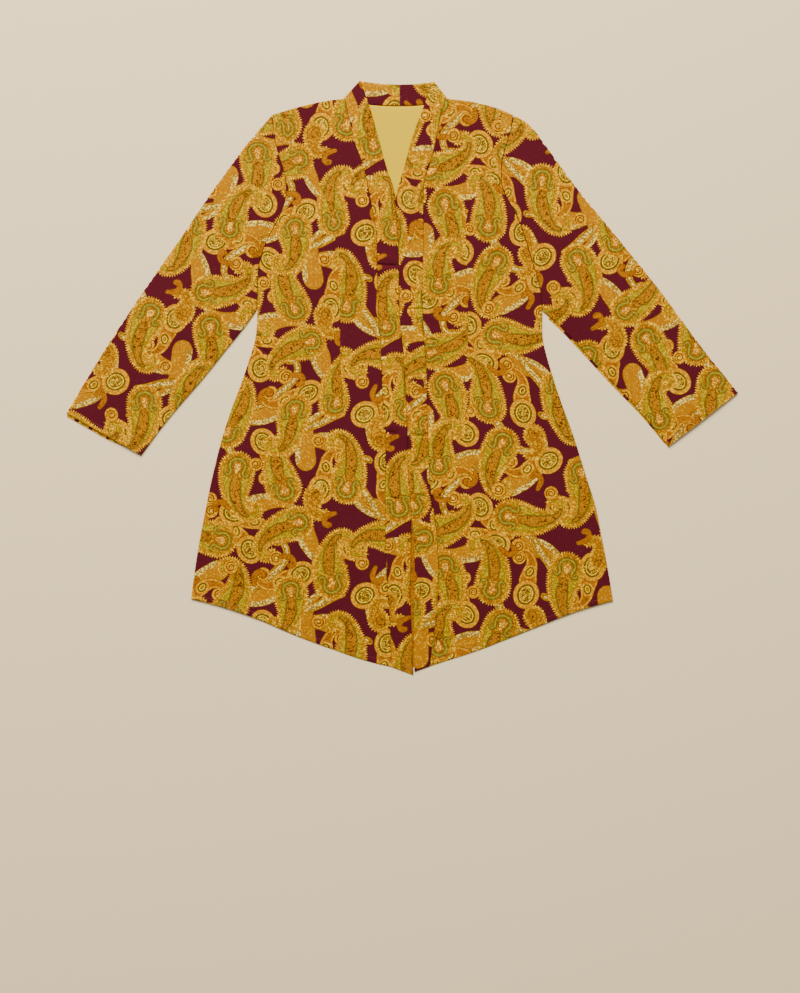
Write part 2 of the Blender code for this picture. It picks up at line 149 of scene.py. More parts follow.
# A smooth line through given points
def throughPoints(marks, step=2.0):
    marks = np.array(marks, float)
    padded = np.concatenate((2 * marks[:1] - marks[1:2], marks, 2 * marks[-1:] - marks[-2:-1]))
    line = []
    for i in range(1, len(padded) - 2):
        a, b, c, d = padded[i - 1 : i + 3]
        count = max(1, round(np.linalg.norm(c - b) / step))
        for t in np.arange(count) / count:
            bend = (2 * a - 5 * b + 4 * c - d) * t**2 + (3 * b - a - 3 * c + d) * t**3
            line.append(0.5 * (2 * b + (c - a) * t + bend))
    line.append(marks[-1])
    return np.array(line)


# A loop turned by degrees, scaled and moved
def placed(loop, x, y, turn=0.0, size=1.0):
    c, s = math.cos(math.radians(turn)) * size, math.sin(math.radians(turn)) * size
    return np.stack((x + c * loop[:, 0] - s * loop[:, 1], y + s * loop[:, 0] + c * loop[:, 1]), 1)


# The closed outline of a band of changing half width, round at both ends, an inset inside its edge
def bandLoop(spine, widths, inset=0.0, step=None):
    step = step or motifSizes["pointStep"]
    total = reachOf(spine)[-1]
    shares, halves = np.array(widths, float).T
    head, tail = halves[0], halves[-1]

    def half(s):
        wide = np.interp(s / total, shares, halves) - inset
        if s < head and head > inset:
            wide *= max(1 - ((head - s) / (head - inset)) ** 2, 0.0) ** 0.5
        if s > total - tail and tail > inset:
            wide *= max(1 - ((s - total + tail) / (tail - inset)) ** 2, 0.0) ** 0.5
        return wide

    places = [inset]
    while places[-1] < total - inset * (tail > inset):
        s = places[-1]
        pace = step
        if s < head:
            pace = min(step, max(0.09 * head, (s - inset) * 0.75))
        if s > total - tail:
            pace = min(pace, max(0.5, tail * 0.4))
        places.append(s + pace)
        if half(places[-1]) < 0.3:
            places.pop()
            break
    centre = pointsAt(spine, places)
    side = sidewaysAt(spine, places)
    side /= np.linalg.norm(side, axis=1)[:, None]
    wide = np.array([max(half(s), 0.0) for s in places])[:, None]
    left, right = centre + side * wide, centre - side * wide
    tip = pointsAt(spine, [min(places[-1] + 0.5 * wide[-1, 0], total)])
    return np.concatenate((left[1:], tip, right[:0:-1], left[:1]))


# A band along one side of a spine, between two insets from its edge
def sideBand(spine, widths, side, outer, inner, start=0.0, end=1.0):
    reach = reachOf(spine)
    shares, halves = np.array(widths, float).T
    count = max(4, round((end - start) * reach[-1] / motifSizes["pointStep"]))
    places = np.linspace(start * reach[-1], end * reach[-1], count)
    centre = pointsAt(spine, places)
    across = sidewaysAt(spine, places)
    half = np.interp(places / reach[-1], shares, halves)
    fade = np.clip(np.minimum((places - places[0]) / 9, (places[-1] - places) / 9), 0, 1) ** 0.6
    out = np.clip(half - outer, 0.5, None)
    inn = np.clip(out - (inner - outer) * fade, 0.0, None)
    a = centre + across * (side * out)[:, None]
    b = centre + across * (side * inn)[:, None]
    return np.concatenate((a, b[::-1][1:-1]))


def loopArea(loop):
    return 0.5 * np.sum(loop[:, 0] * np.roll(loop[:, 1], -1) - np.roll(loop[:, 0], -1) * loop[:, 1])


# Even steps along a closed loop
def evenLoop(loop, step):
    closed = closedLine(loop)
    total = reachOf(closed)[-1]
    return pointsAt(closed, np.linspace(0, total, max(6, round(total / step)), endpoint=False))


# Teeth that stand out from a loop, one every pitch
def fringeLoop(loop, tooth, pitch):
    ring = evenLoop(loop, pitch / 2)
    ring = ring[: len(ring) // 2 * 2]
    way = np.roll(ring, -1, 0) - np.roll(ring, 1, 0)
    way /= np.linalg.norm(way, axis=1)[:, None]
    out = np.stack((way[:, 1], -way[:, 0]), 1) * np.sign(loopArea(ring))
    moved = ring.copy()
    moved[::2] += out[::2] * tooth
    return moved


def oval(x, y, wide, tall, turn=0.0, step=None):
    count = max(8, round(math.pi * (wide + tall) / (step or motifSizes["pointStep"])))
    a = np.linspace(0, 2 * math.pi, count, endpoint=False)
    return placed(np.stack((np.cos(a) * wide, np.sin(a) * tall), 1), x, y, turn)


# Motifs: each is a list of layers, lowest first, an ink and a closed loop about the motif's origin

# Layers of one band, each an ink with its inset from the band's edge
def nested(spine, widths, *layers, step=None):
    return [(ink, bandLoop(spine, widths, inset, step)) for ink, inset in layers]


def paisley(hand=1, long=1.0):
    stretches = [(44 * long, 4 * hand), (36 * long, 34 * hand), (22, 66 * hand), (27, 176 * hand)]
    spine = bendLine(stretches, (0, -28 * long - 14))
    widths = [(0, 24), (0.15, 25.5), (0.30, 24.5), (0.45, 19.5), (0.57, 14), (0.68, 9.6), (0.80, 7.4),
              (0.92, 6.6), (1, 6.2)]
    layers = [("fringe", fringeLoop(bandLoop(spine, widths), motifSizes["tooth"], motifSizes["toothPitch"]))]
    layers += nested(spine, widths, ("gold", 1.0), ("darkLine", 4.6), ("green", 5.2))
    reach = reachOf(spine)
    # the head round the curl is gold, with a round end towards the tail
    headSpine = spine[reach < 43 * long]
    headWidths = [(0, 18.0), (0.3, 19.4), (0.6, 17), (0.8, 12), (1, 6)]
    layers.append(("field", bandLoop(headSpine, headWidths)))
    seedSpine = spine[(reach > 31 * long) & (reach < 98 * long)]
    seedWidths = [(0, 3.6), (0.14, 7.0), (0.32, 8.6), (0.5, 7.6), (0.75, 4.2), (1, 1.6)]
    layers.append(("curl", bandLoop(seedSpine, [(share, wide + 1.8) for share, wide in seedWidths])))
    layers += nested(seedSpine, seedWidths, ("outline", 0.0), ("seed", 0.9))
    x, y = pointsAt(spine, [22.0])[0]
    # the curl like a ram's horns, open towards the tail, with a heart in it
    half = [(-18.5, 7), (-16, 12.5), (-11, 12.5), (-9, 7.5), (-11.5, 1), (-11.5, -6), (-6.5, -11.5)]
    horns = throughPoints(half + [(0, -13)] + [(-a, b) for a, b in reversed(half)])
    horns = placed(horns, x, y, 2 * hand)
    for ink, wide in (("outline", 3.9), ("curl", 3.1), ("curlLight", 1.0)):
        layers.append((ink, bandLoop(horns, [(0, wide * 0.75), (0.2, wide), (0.8, wide), (1, wide * 0.75)])))
    heart = placed(bendLine([(19, 0)], (0, -7.5)), x, y, 2 * hand)
    heartWidths = [(0, 5.6), (0.35, 6.6), (0.7, 4.2), (1, 3.4)]
    return layers + nested(heart, heartWidths, ("outline", 0.0), ("heart", 1.0))


def smallPaisley(hand=1):
    spine = bendLine([(20, 6 * hand), (20, 44 * hand), (22, 150 * hand)], (0, -16))
    widths = [(0, 14), (0.3, 14), (0.55, 9), (0.8, 5.8), (1, 5.2)]
    fine = motifSizes["fineStep"]
    layers = [("fringe", fringeLoop(bandLoop(spine, widths), 3.2, 4.2))]
    layers += nested(spine, widths, ("gold", 1.2), ("darkLine", 4.0), ("field", 4.7))
    for ink, inset in (("outline", 0), ("seed", 1)):
        layers.append((ink, oval(-1.5 * hand, -3, 5.6 - inset, 8.4 - inset, -12 * hand, fine)))
    return layers


def spiral(size=11.0, hand=1):
    t = np.linspace(0, 1, 26)
    radius = size * (0.70 - 0.55 * t)
    angle = 0.7 + hand * t * 1.7 * 2 * math.pi
    line = np.stack((radius * np.cos(angle), radius * np.sin(angle)), 1)
    return [
        ("outline", oval(0, 0, size, size)),
        ("rim", oval(0, 0, size - 0.8, size - 0.8)),
        ("spiralLine", bandLoop(line, [(0, 0.85), (1, 0.8)], 0, motifSizes["fineStep"])),
        ("cream", oval(0, 0, size * 0.16, size * 0.16)),
    ]


def doubleEye(hand=1, tail=1.0):
    stretches = [(30, 20 * hand), (24 * tail, -56 * hand), (20, -150 * hand)]
    stem = bendLine(stretches, (0, 8), 90 - 12 * hand)
    stemWidths = [(0, 16), (0.2, 13.5), (0.45, 9.5), (0.7, 6.2), (1, 5.0)]
    lean = 8 * hand
    layers = nested(stem, stemWidths, ("outline", 0.0), ("rim", 0.8), ("tail", 3.4))
    rings = [("outline", 0.0), ("rim", 0.8), ("eyeRing", 6.4), ("eyeBeads", 9.2), ("eyeRing", 10.9),
             ("eyeCentre", 11.7)]
    for ink, inset in rings:
        step = motifSizes["fineStep"] if inset > 10 else None
        layers.append((ink, oval(0, 0, 19.5 - inset, 22 - inset, lean, step)))
    x, y = pointsAt(stem, [26.0])[0]
    for ink, inset in (("rim", 0.0), ("eyeRing", 3.0), ("eyeBeads", 5.2), ("seed", 6.8)):
        layers.append((ink, oval(x, y, 9.0 - inset, 10.8 - inset, 24 * hand, motifSizes["fineStep"])))
    return layers + [(ink, loop + stem[-1]) for ink, loop in spiral(10.5, hand)]


def leaf(hand=1, long=1.0, tail=1.0):
    spine = bendLine([(40 * long, 8 * hand), (34 * long, 34 * hand), (38 * tail, 46 * hand)], (0, -34))
    widths = [(0, 13.5), (0.15, 15.5), (0.32, 15), (0.5, 11.5), (0.72, 6.4), (0.9, 3.6), (1, 2.4)]
    layers = nested(spine, widths, ("outline", 0.0), ("leaf", 0.9))
    return layers + [("cream", sideBand(spine, widths, -hand, 0.9, 8.4, 0.10, 0.96))]


def hook(hand=1, size=1.0):
    stretches = [(12 * size, 8 * hand), (13 * size, 90 * hand), (11 * size, 160 * hand)]
    spine = bendLine(stretches, (0, -12 * size))
    widths = [(0, 2.6), (0.3, 4.0), (0.65, 4.0), (1, 5.4)]
    return nested(spine, widths, ("outline", 0.0), ("tail", 0.8), step=motifSizes["fineStep"])


def slimBand(hand=1, long=1.0):
    stretches = [(30 * long, 26 * hand), (40 * long, -24 * hand), (26 * long, -70 * hand), (16, -130 * hand)]
    spine = bendLine(stretches, (0, -44))
    widths = [(0, 4.4), (0.2, 6.6), (0.6, 6.2), (0.85, 4.8), (1, 5.0)]
    return nested(spine, widths, ("outline", 0.0), ("gold", 0.8), ("darkLine", 2.6), ("cream", 3.3))


# One repeat of the print, as listed: motif, x, y, turn, size and what differs from the motif's own
# settings, lowest first
printTile = {"wide": 294.0, "tall": 290.0}
printLayout = [
    (leaf, 30, 128, 66, 1.1, {}),
    (leaf, 200, 30, -64, 1.1, {"hand": -1}),
    (leaf, 276, 118, 10, 1.1, {"hand": -1}),
    (leaf, 122, 206, 112, 1.1, {"tail": 1.2}),
    (leaf, 282, 258, 196, 1.05, {}),
    (leaf, 96, 20, 80, 1.05, {"hand": -1}),
    (leaf, 226, 176, 130, 1.1, {"hand": -1, "tail": 1.2}),
    (slimBand, 92, 52, 14, 1.15, {}),
    (slimBand, 214, 214, -34, 1.15, {"hand": -1}),
    (slimBand, 0, 170, 96, 1.15, {}),
    (slimBand, 140, 120, 52, 1.15, {"hand": -1}),
    (doubleEye, 10, 52, -10, 1.08, {}),
    (doubleEye, 116, 96, 168, 1.08, {"hand": -1}),
    (doubleEye, 80, 172, -66, 1.08, {}),
    (doubleEye, 190, 246, 34, 1.08, {"hand": -1}),
    (doubleEye, 272, 206, 112, 1.08, {}),
    (doubleEye, 212, 128, 205, 1.05, {}),
    (doubleEye, 62, 248, 100, 1.05, {"hand": -1}),
    (doubleEye, 164, 14, -110, 1.08, {}),
    (paisley, 58, 78, -16, 1.05, {"long": 1.15}),
    (paisley, 166, 64, 170, 1.05, {"long": 1.1}),
    (paisley, 236, 74, 22, 1.05, {"hand": -1, "long": 1.15}),
    (paisley, 22, 214, 12, 1.05, {"hand": -1, "long": 1.1}),
    (paisley, 166, 164, -30, 1.05, {"long": 1.1}),
    (paisley, 120, 268, 74, 1.05, {"long": 1.15}),
    (paisley, 246, 284, 104, 1.0, {"long": 1.1}),
    (paisley, 258, 160, 186, 1.0, {"hand": -1}),
    (smallPaisley, 102, 132, 34, 1.1, {"hand": -1}),
    (smallPaisley, 292, 40, 160, 1.1, {}),
    (spiral, 128, 18, 0, 1.1, {}),
    (spiral, 6, 130, 0, 1.1, {"hand": -1}),
    (spiral, 160, 218, 0, 1.1, {}),
    (spiral, 76, 224, 0, 1.05, {"hand": -1}),
    (spiral, 232, 232, 0, 1.1, {}),
    (spiral, 200, 92, 0, 1.0, {"hand": -1}),
    (hook, 150, 30, 40, 1.2, {}),
    (hook, 250, 236, -80, 1.2, {"hand": -1}),
    (hook, 92, 208, 150, 1.2, {}),
    (hook, 196, 200, 10, 1.2, {"hand": -1}),
    (hook, 22, 12, 100, 1.2, {}),
]
repeatLoops = []
for maker, x, y, turn, size, how in printLayout:
    repeatLoops.append([(ink, placed(loop, x, y, turn, size)) for ink, loop in maker(**how)])
print("print drawn,", sum(len(loop) for motif in repeatLoops for _, loop in motif), "points a repeat")

# Inks: colour, colour of the flecks in it, share of flecks, and how much of them are worm lines

inks = {
    "ground": ("#4c1520", "#561e2a", 0.15, 0.0),
    "outline": ("#673d0a", "#7b510f", 0.35, 0.0),
    "fringe": ("#a87002", "#ecbe10", 0.45, 0.0),
    "gold": ("#9a6202", "#cc9804", 0.50, 0.0),
    "darkLine": ("#6a460c", "#7e5a12", 0.35, 0.0),
    "field": ("#8e5602", "#bc8604", 0.50, 0.0),
    "green": ("#8a7204", "#bc9a08", 0.50, 0.0),
    "seed": ("#a86e0a", "#4e2e08", 0.0, 1.0),
    "curl": ("#665618", "#80702a", 0.45, 0.0),
    "curlLight": ("#8c7820", "#aa921c", 0.45, 0.0),
    "heart": ("#a8680c", "#ecb83c", 0.50, 0.0),
    "rim": ("#b27202", "#dca404", 0.50, 0.0),
    "eyeRing": ("#56420e", "#6c5818", 0.40, 0.0),
    "eyeBeads": ("#c0920e", "#f0cc2c", 0.50, 0.0),
    "eyeCentre": ("#664610", "#dcae24", 0.0, 1.0),
    "leaf": ("#a26602", "#c09008", 0.35, 0.0),
    "cream": ("#8c6820", "#e8ca60", 0.55, 0.0),
    "spiralLine": ("#5f3208", "#6f4210", 0.30, 0.0),
    "tail": ("#a46204", "#6a3e09", 0.25, 0.8),
}
inkNames = list(inks)
inkSlots = 32  # steps that the ink attribute and the ramps share


# Forms, read from the CAD nodes

reliefSizes = {
    "pitch": 2.0, "blur": 6.0, "margin": 15.0, "bellSteps": 10, "rayFrom": 100.0,
    "weld": 0.02,     # corners of the CAD triangles that are one point
    "facesUp": 0.3,   # least upward part of an upper face's normal
}


def cadForm(node):
    form = bmesh.new()
    form.from_mesh(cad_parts[node].data)
    bmesh.ops.remove_doubles(form, verts=form.verts, dist=reliefSizes["weld"] * mm)
    form.normal_update()
    return form


# Each stretch of a node that faces up: its mean height and its outline, anticlockwise, largest first.
# Faces wait in dictionaries, because a set of them has another order in each run.
def upperSkins(node):
    form = cadForm(node)
    waiting = dict.fromkeys(face for face in form.faces if face.normal.z > reliefSizes["facesUp"])
    skins = []
    while waiting:
        stack = [waiting.popitem()[0]]
        skin = dict.fromkeys(stack)
        while stack:
            for edge in stack.pop().edges:
                for other in edge.link_faces:
                    if other in waiting:
                        del waiting[other]
                        skin[other] = None
                        stack.append(other)
        area = sum(face.calc_area() for face in skin)
        height = sum(face.calc_center_median().z * face.calc_area() for face in skin) / area
        ahead = {}
        for face in skin:
            for corner in face.loops:
                if not any(other in skin for other in corner.edge.link_faces if other is not face):
                    ahead[corner.vert] = corner.link_loop_next.vert
        outline = []
        while ahead:
            first = vert = next(iter(ahead))
            ring = []
            while vert in ahead:
                ring.append((vert.co.x / mm, vert.co.y / mm))
                vert = ahead.pop(vert)
            if vert is first and len(ring) > len(outline):
                outline = ring
        skins.append((area, height / mm, np.array(outline)))
    form.free()
    return sorted(skins, key=lambda skin: -skin[0])


# Rounds the many-sided outline of a CAD skin, and keeps its corners
def smoothOutline(outline, step, corner=32.0):
    ahead = np.roll(outline, -1, 0) - outline
    heading = np.degrees(np.arctan2(ahead[:, 1], ahead[:, 0]))
    turn = np.abs((heading - np.roll(heading, 1) + 180) % 360 - 180)
    corners = [i for i in range(len(outline)) if turn[i] > corner]
    if not corners:
        return outline
    smooth = []
    for i, start in enumerate(corners):
        end = corners[(i + 1) % len(corners)]
        count = (end - start) % len(outline) or len(outline)
        stretch = outline[[(start + k) % len(outline) for k in range(count + 1)]]
        line = throughPoints(stretch, step) if len(stretch) > 2 else stretch
        total = reachOf(line)[-1]
        smooth.append(pointsAt(line, np.linspace(0, total, max(2, round(total / step) + 1)))[:-1])
    return np.concatenate(smooth)


# Heights of a node's upper side on an even grid, softened, so that no CAD facet shows
def readRelief(node, blur=None):
    form = cadForm(node)
    tree = BVHTree.FromBMesh(form)
    form.free()
    low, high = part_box(node)
    pitch, margin = reliefSizes["pitch"], reliefSizes["margin"]
    xs = np.arange(low.x / mm - margin, high.x / mm + margin, pitch)
    ys = np.arange(low.y / mm - margin, high.y / mm + margin, pitch)
    heights = np.zeros((len(ys), len(xs)))
    known = np.zeros_like(heights)
    down = Vector((0, 0, -1))
    for j, y in enumerate(ys):
        for i, x in enumerate(xs):
            hit = tree.ray_cast(Vector((x * mm, y * mm, reliefSizes["rayFrom"] * mm)), down)[0]
            if hit:
                heights[j, i] = hit.z / mm
                known[j, i] = 1.0
    reach = np.arange(-reliefSizes["bellSteps"], reliefSizes["bellSteps"] + 1) * pitch
    bell = np.exp(-0.5 * (reach / (blur or reliefSizes["blur"])) ** 2)

    def soften(grid):
        for axis in (0, 1):
            grid = np.apply_along_axis(lambda row: np.convolve(row, bell, "same"), axis, grid)
        return grid

    share = soften(known)
    mean = heights.sum() / known.sum()
    softened = np.where(share > 1e-4, soften(heights) / np.maximum(share, 1e-4), mean)
    return {"xs": xs, "ys": ys, "heights": softened, "pitch": pitch}


def reliefAt(relief, x, y):
    i = np.clip((x - relief["xs"][0]) / relief["pitch"], 0, len(relief["xs"]) - 1.001)
    j = np.clip((y - relief["ys"][0]) / relief["pitch"], 0, len(relief["ys"]) - 1.001)
    i0, j0 = i.astype(int), j.astype(int)
    u, v = i - i0, j - j0
    h = relief["heights"]
    near = h[j0, i0] * (1 - u) + h[j0, i0 + 1] * u
    far = h[j0 + 1, i0] * (1 - u) + h[j0 + 1, i0 + 1] * u
    return near * (1 - v) + far * v


# Points on the cloth lifted to a relief, less the depth of its grooves there
def onRelief(relief, points, depth=0.0):
    return np.column_stack((points, reliefAt(relief, points[:, 0], points[:, 1]) - depth))


def smoothShare(value):
    t = np.clip(value, 0, 1)
    return t * t * (3 - 2 * t)


# Shares of a crease's length: how far it bows, runs past its ends and fades there
creaseSizes = {"bow": 0.05, "past": 0.15, "fade": 0.35}


# Fine creases, laid on a relief: x1, y1, x2, y2, half width, height
def addCreases(relief, creases):
    x, y = np.meshgrid(relief["xs"], relief["ys"])
    past, fade = creaseSizes["past"], creaseSizes["fade"]
    for x1, y1, x2, y2, width, height in creases:
        run = np.array((x2 - x1, y2 - y1), float)
        long = np.hypot(*run)
        along = ((x - x1) * run[0] + (y - y1) * run[1]) / long**2
        bow = creaseSizes["bow"] * long * np.sin(np.pi * np.clip(along, 0, 1)) * (1 if height > 0 else -1)
        off = ((x - x1) * run[1] - (y - y1) * run[0]) / long + bow
        ends = smoothShare((along + past) / fade) * smoothShare((1 + past - along) / fade)
        across = np.where(np.abs(off) < width, 0.5 + 0.5 * np.cos(np.pi * off / width), 0)
        relief["heights"] += height * ends * across


# A probe that gives the distance from points to a line of straight stretches
def lineProbe(line, step=1.5):
    dense = [line[:1]]
    for a, b in zip(line[:-1], line[1:]):
        count = max(1, math.ceil(np.hypot(*(b - a)) / step))
        dense.append(a + (b - a) * (np.arange(1, count + 1) / count)[:, None])
    dense = np.concatenate(dense)
    tree = KDTree(len(dense))
    for k, (x, y) in enumerate(dense.tolist()):
        tree.insert((x, y, 0.0), k)
    tree.balance()

    def probe(points):
        near = np.array([tree.find((x, y, 0.0))[1] for x, y in points.tolist()])
        best = np.full(len(points), 1e9)
        for shift in (-1, 0):
            k = np.clip(near + shift, 0, len(dense) - 2)
            run = dense[k + 1] - dense[k]
            part = points - dense[k]
            share = np.clip((part * run).sum(1) / ((run**2).sum(1) + 1e-12), 0, 1)
            best = np.minimum(best, np.linalg.norm(part - share[:, None] * run, axis=1))
        return best

    return probe


def distanceTo(line, points):
    return lineProbe(line)(points)


# Shallow grooves pressed into the cloth along lines: line, depth, half width
def grooveDepth(grooves):
    probes = [(lineProbe(line), depth, width) for line, depth, width in grooves]

    def depthAt(points):
        total = np.zeros(len(points))
        for probe, depth, width in probes:
            total += depth * np.exp(-((probe(points) / width) ** 2))
        return total

    return depthAt


# Both ways along a closed outline from one corner to another
def partsOf(outline, first, last):
    i, j = (np.argmin(np.linalg.norm(outline - corner, axis=1)) for corner in (first, last))
    turned = np.roll(outline, -i, 0)
    k = (j - i) % len(outline)
    return turned[: k + 1], np.concatenate((turned[k:], turned[:1]))[::-1]


# The way that passes nearer a third point
def stretchOf(outline, first, last, past):
    return min(partsOf(outline, first, last), key=lambda part: np.linalg.norm(part - past, axis=1).min())


# Which points lie inside a closed loop
def insideLoop(loop, points):
    a, b = loop, np.roll(loop, -1, 0)
    x, y = points[:, :1], points[:, 1:]
    cross = (b[:, 0] - a[:, 0]) * (y - a[:, 1]) - (x - a[:, 0]) * (b[:, 1] - a[:, 1])
    up = (a[:, 1] <= y) & (b[:, 1] > y) & (cross > 0)
    down = (a[:, 1] > y) & (b[:, 1] <= y) & (cross < 0)
    return up.sum(1) != down.sum(1)


# The print's loops that fall on a piece of cloth, top motif first
def printOn(low, high, offset, turn):
    corners = np.array([(x, y) for x in (low[0], high[0]) for y in (low[1], high[1])])
    back = placed(corners - offset, 0, 0, -turn)
    wide, tall = printTile["wide"], printTile["tall"]
    first = np.floor(back.min(0) / (wide, tall)).astype(int) - 1
    last = np.floor(back.max(0) / (wide, tall)).astype(int) + 1
    found = []
    for i in range(first[0], last[0] + 1):
        for j in range(first[1], last[1] + 1):
            for order, motif in enumerate(repeatLoops):
                moved = []
                for ink, loop in motif:
                    moved.append((ink, placed(loop + (i * wide, j * tall), *offset, turn)))
                edge = np.concatenate([loop for _, loop in moved])
                if (edge.max(0) > low).all() and (edge.min(0) < high).all():
                    found.append((order, j, i, moved))
    found.sort(key=lambda one: one[:3], reverse=True)
    return [moved for _, _, _, moved in found]


# Triangles over a piece of cloth that follow its outline, its lines and the edges of its print
def triangulate(outline, chains, spots):
    points, edges = [], []
    for chain, closed in [(outline, True)] + chains:
        base = len(points)
        points += [Vector(p) for p in chain]
        edges += [(base + k, base + k + 1) for k in range(len(chain) - 1)]
        if closed:
            edges.append((base + len(chain) - 1, base))
    points += [Vector(p) for p in spots]
    verts, _, faces, sources, _, _ = delaunay_2d_cdt(points, edges, [], 0, clothSizes["merge"], True)
    verts, faces = np.array(verts), np.array(faces)
    centres = verts[faces].mean(1)
    batch = 4000
    keep = [insideLoop(outline, centres[k : k + batch]) for k in range(0, len(centres), batch)]
    faces = faces[np.concatenate(keep)]
    used, faces = np.unique(faces, return_inverse=True)
    return verts[used], faces.reshape(-1, 3), [sources[k] for k in used]


# The parts of a loop that lie on the cloth, as open chains
def chainsOf(loop, wanted):
    ahead = np.roll(wanted, -1)
    keep = wanted | ahead
    if keep.all():
        return [(loop, True)]
    chains = []
    count = len(loop)
    starts = [k for k in range(count) if keep[k] and not keep[k - 1]]
    for start in starts:
        chain = [loop[start]]
        k = start
        while keep[k % count]:
            chain.append(loop[(k + 1) % count])
            k += 1
        chains.append((np.array(chain), False))
    return chains


# Free points of the mesh, in rows half a pitch off each other and clear of the edge
def spotGrid(outline, pitch, clear):
    low, high = outline.min(0), outline.max(0)
    xs = np.arange(low[0] + 0.37 * pitch, high[0], pitch)
    ys = np.arange(low[1] + 0.41 * pitch, high[1], pitch * 0.87)
    grid = np.array([(x + (j % 2) * pitch / 2, y) for j, y in enumerate(ys) for x in xs])
    grid = grid[insideLoop(outline, grid)]
    return grid[distanceTo(closedLine(outline), grid) > clear]


clothSizes = {
    "wall": 0.9, "edge": 2.0, "drop": 0.82, "seamStep": 4.0,
    "spots": 6.0, "innerSpots": 14.0,   # between free points of the mesh
    "clear": 2.6, "innerClear": 4.0,    # from those points to the edge
    "merge": 0.02,             # points closer than this are one
    "rings": (0.5, 1.4),       # lines inside the edge, for its roundness
    "printMargin": 30,         # the print reaches so far past the cloth
    "dartLap": 2.0,            # and so far past the dart
    "sharp": 50,               # degrees from which an edge is sharp
}


# Outward normals of a mapping from cloth to space, by small steps on the cloth
def normalsOf(toSpace, points, step=0.4):
    right = toSpace(points + (step, 0)) - toSpace(points - (step, 0))
    up = toSpace(points + (0, step)) - toSpace(points - (0, step))
    normal = np.cross(right, up)
    return normal / (np.linalg.norm(normal, axis=1)[:, None] + 1e-12)


# Inks of triangles, read from the motifs that cover their centres, top motif first
def inksAt(centres, motifs):
    ink = np.full(len(centres), inkNames.index("ground"))
    order = np.argsort(centres[:, 0])
    sortedX = centres[order, 0]
    free = np.ones(len(centres), bool)
    for motif in motifs:
        edge = np.concatenate([loop for _, loop in motif])
        low, high = edge.min(0), edge.max(0)
        near = order[np.searchsorted(sortedX, low[0]) : np.searchsorted(sortedX, high[0])]
        near = near[free[near] & (centres[near, 1] > low[1]) & (centres[near, 1] < high[1])]
        for name, loop in reversed(motif):
            if not len(near):
                break
            box = (centres[near] > loop.min(0)).all(1) & (centres[near] < loop.max(0)).all(1)
            if not box.any():
                continue
            hit = near[box][insideLoop(loop, centres[near][box])]
            ink[hit] = inkNames.index(name)
            free[hit] = False
            near = near[free[near]]
    return ink


# One printed or plain side of a piece: points on the cloth, triangles and inks
def clothSide(outline, lines, spots, motifPrint, regionOf=None, warp=None):
    chains = [(line, False) for line in lines]
    motifs = [[], []]
    if motifPrint:
        low, high = outline.min(0) - clothSizes["printMargin"], outline.max(0) + clothSizes["printMargin"]
        motifs[0] = printOn(low, high, np.array(motifPrint["offset"], float), motifPrint["turn"])
        without = motifPrint.get("without", ())
        motifs[0] = [[(ink, loop) for ink, loop in motif if ink not in without] for motif in motifs[0]]
        if warp:
            motifs[1] = [[(ink, warp(loop)) for ink, loop in motif] for motif in motifs[0]]
    toEdge = lineProbe(closedLine(outline))
    for region in (0, 1):
        for motif in motifs[region]:
            every = np.concatenate([loop for _, loop in motif])
            centre = (every.min(0) + every.max(0)) / 2
            reach = np.linalg.norm(every - centre, axis=1).max()
            wanted = insideLoop(outline, centre[None]).repeat(len(every))
            if toEdge(centre[None])[0] < reach:
                wanted = insideLoop(outline, every)
            if warp:
                lap = clothSizes["dartLap"] * (1 if region else -1)
                wanted = wanted & (regionOf(every, lap) == region)
            if not wanted.any():
                continue
            base = 0
            for _, loop in motif:
                part = wanted[base : base + len(loop)]
                base += len(loop)
                if part.any():
                    chains += chainsOf(loop, part)
    verts, faces, sources = triangulate(outline, chains, spots)
    centres = verts[faces].mean(1)
    if warp:
        ink = np.where(regionOf(centres, 0.0) == 1, inksAt(centres, motifs[1]), inksAt(centres, motifs[0]))
    elif motifPrint:
        ink = inksAt(centres, motifs[0])
    else:
        ink = np.zeros(len(faces), int)
    return verts, faces, ink, sources


# The ordered rim of a set of triangles
def rimOf(faces):
    ahead = {}
    for a, b, c in faces.tolist():
        for pair in ((a, b), (b, c), (c, a)):
            if (pair[1], pair[0]) in ahead:
                del ahead[(pair[1], pair[0])]
            else:
                ahead[pair] = True
    following = dict(ahead.keys())
    start = next(iter(following))
    rim = [start]
    while following[rim[-1]] != start:
        rim.append(following[rim[-1]])
    if len(rim) != len(following):
        print("the rim has", len(following), "edges and the walk found", len(rim))
    return rim


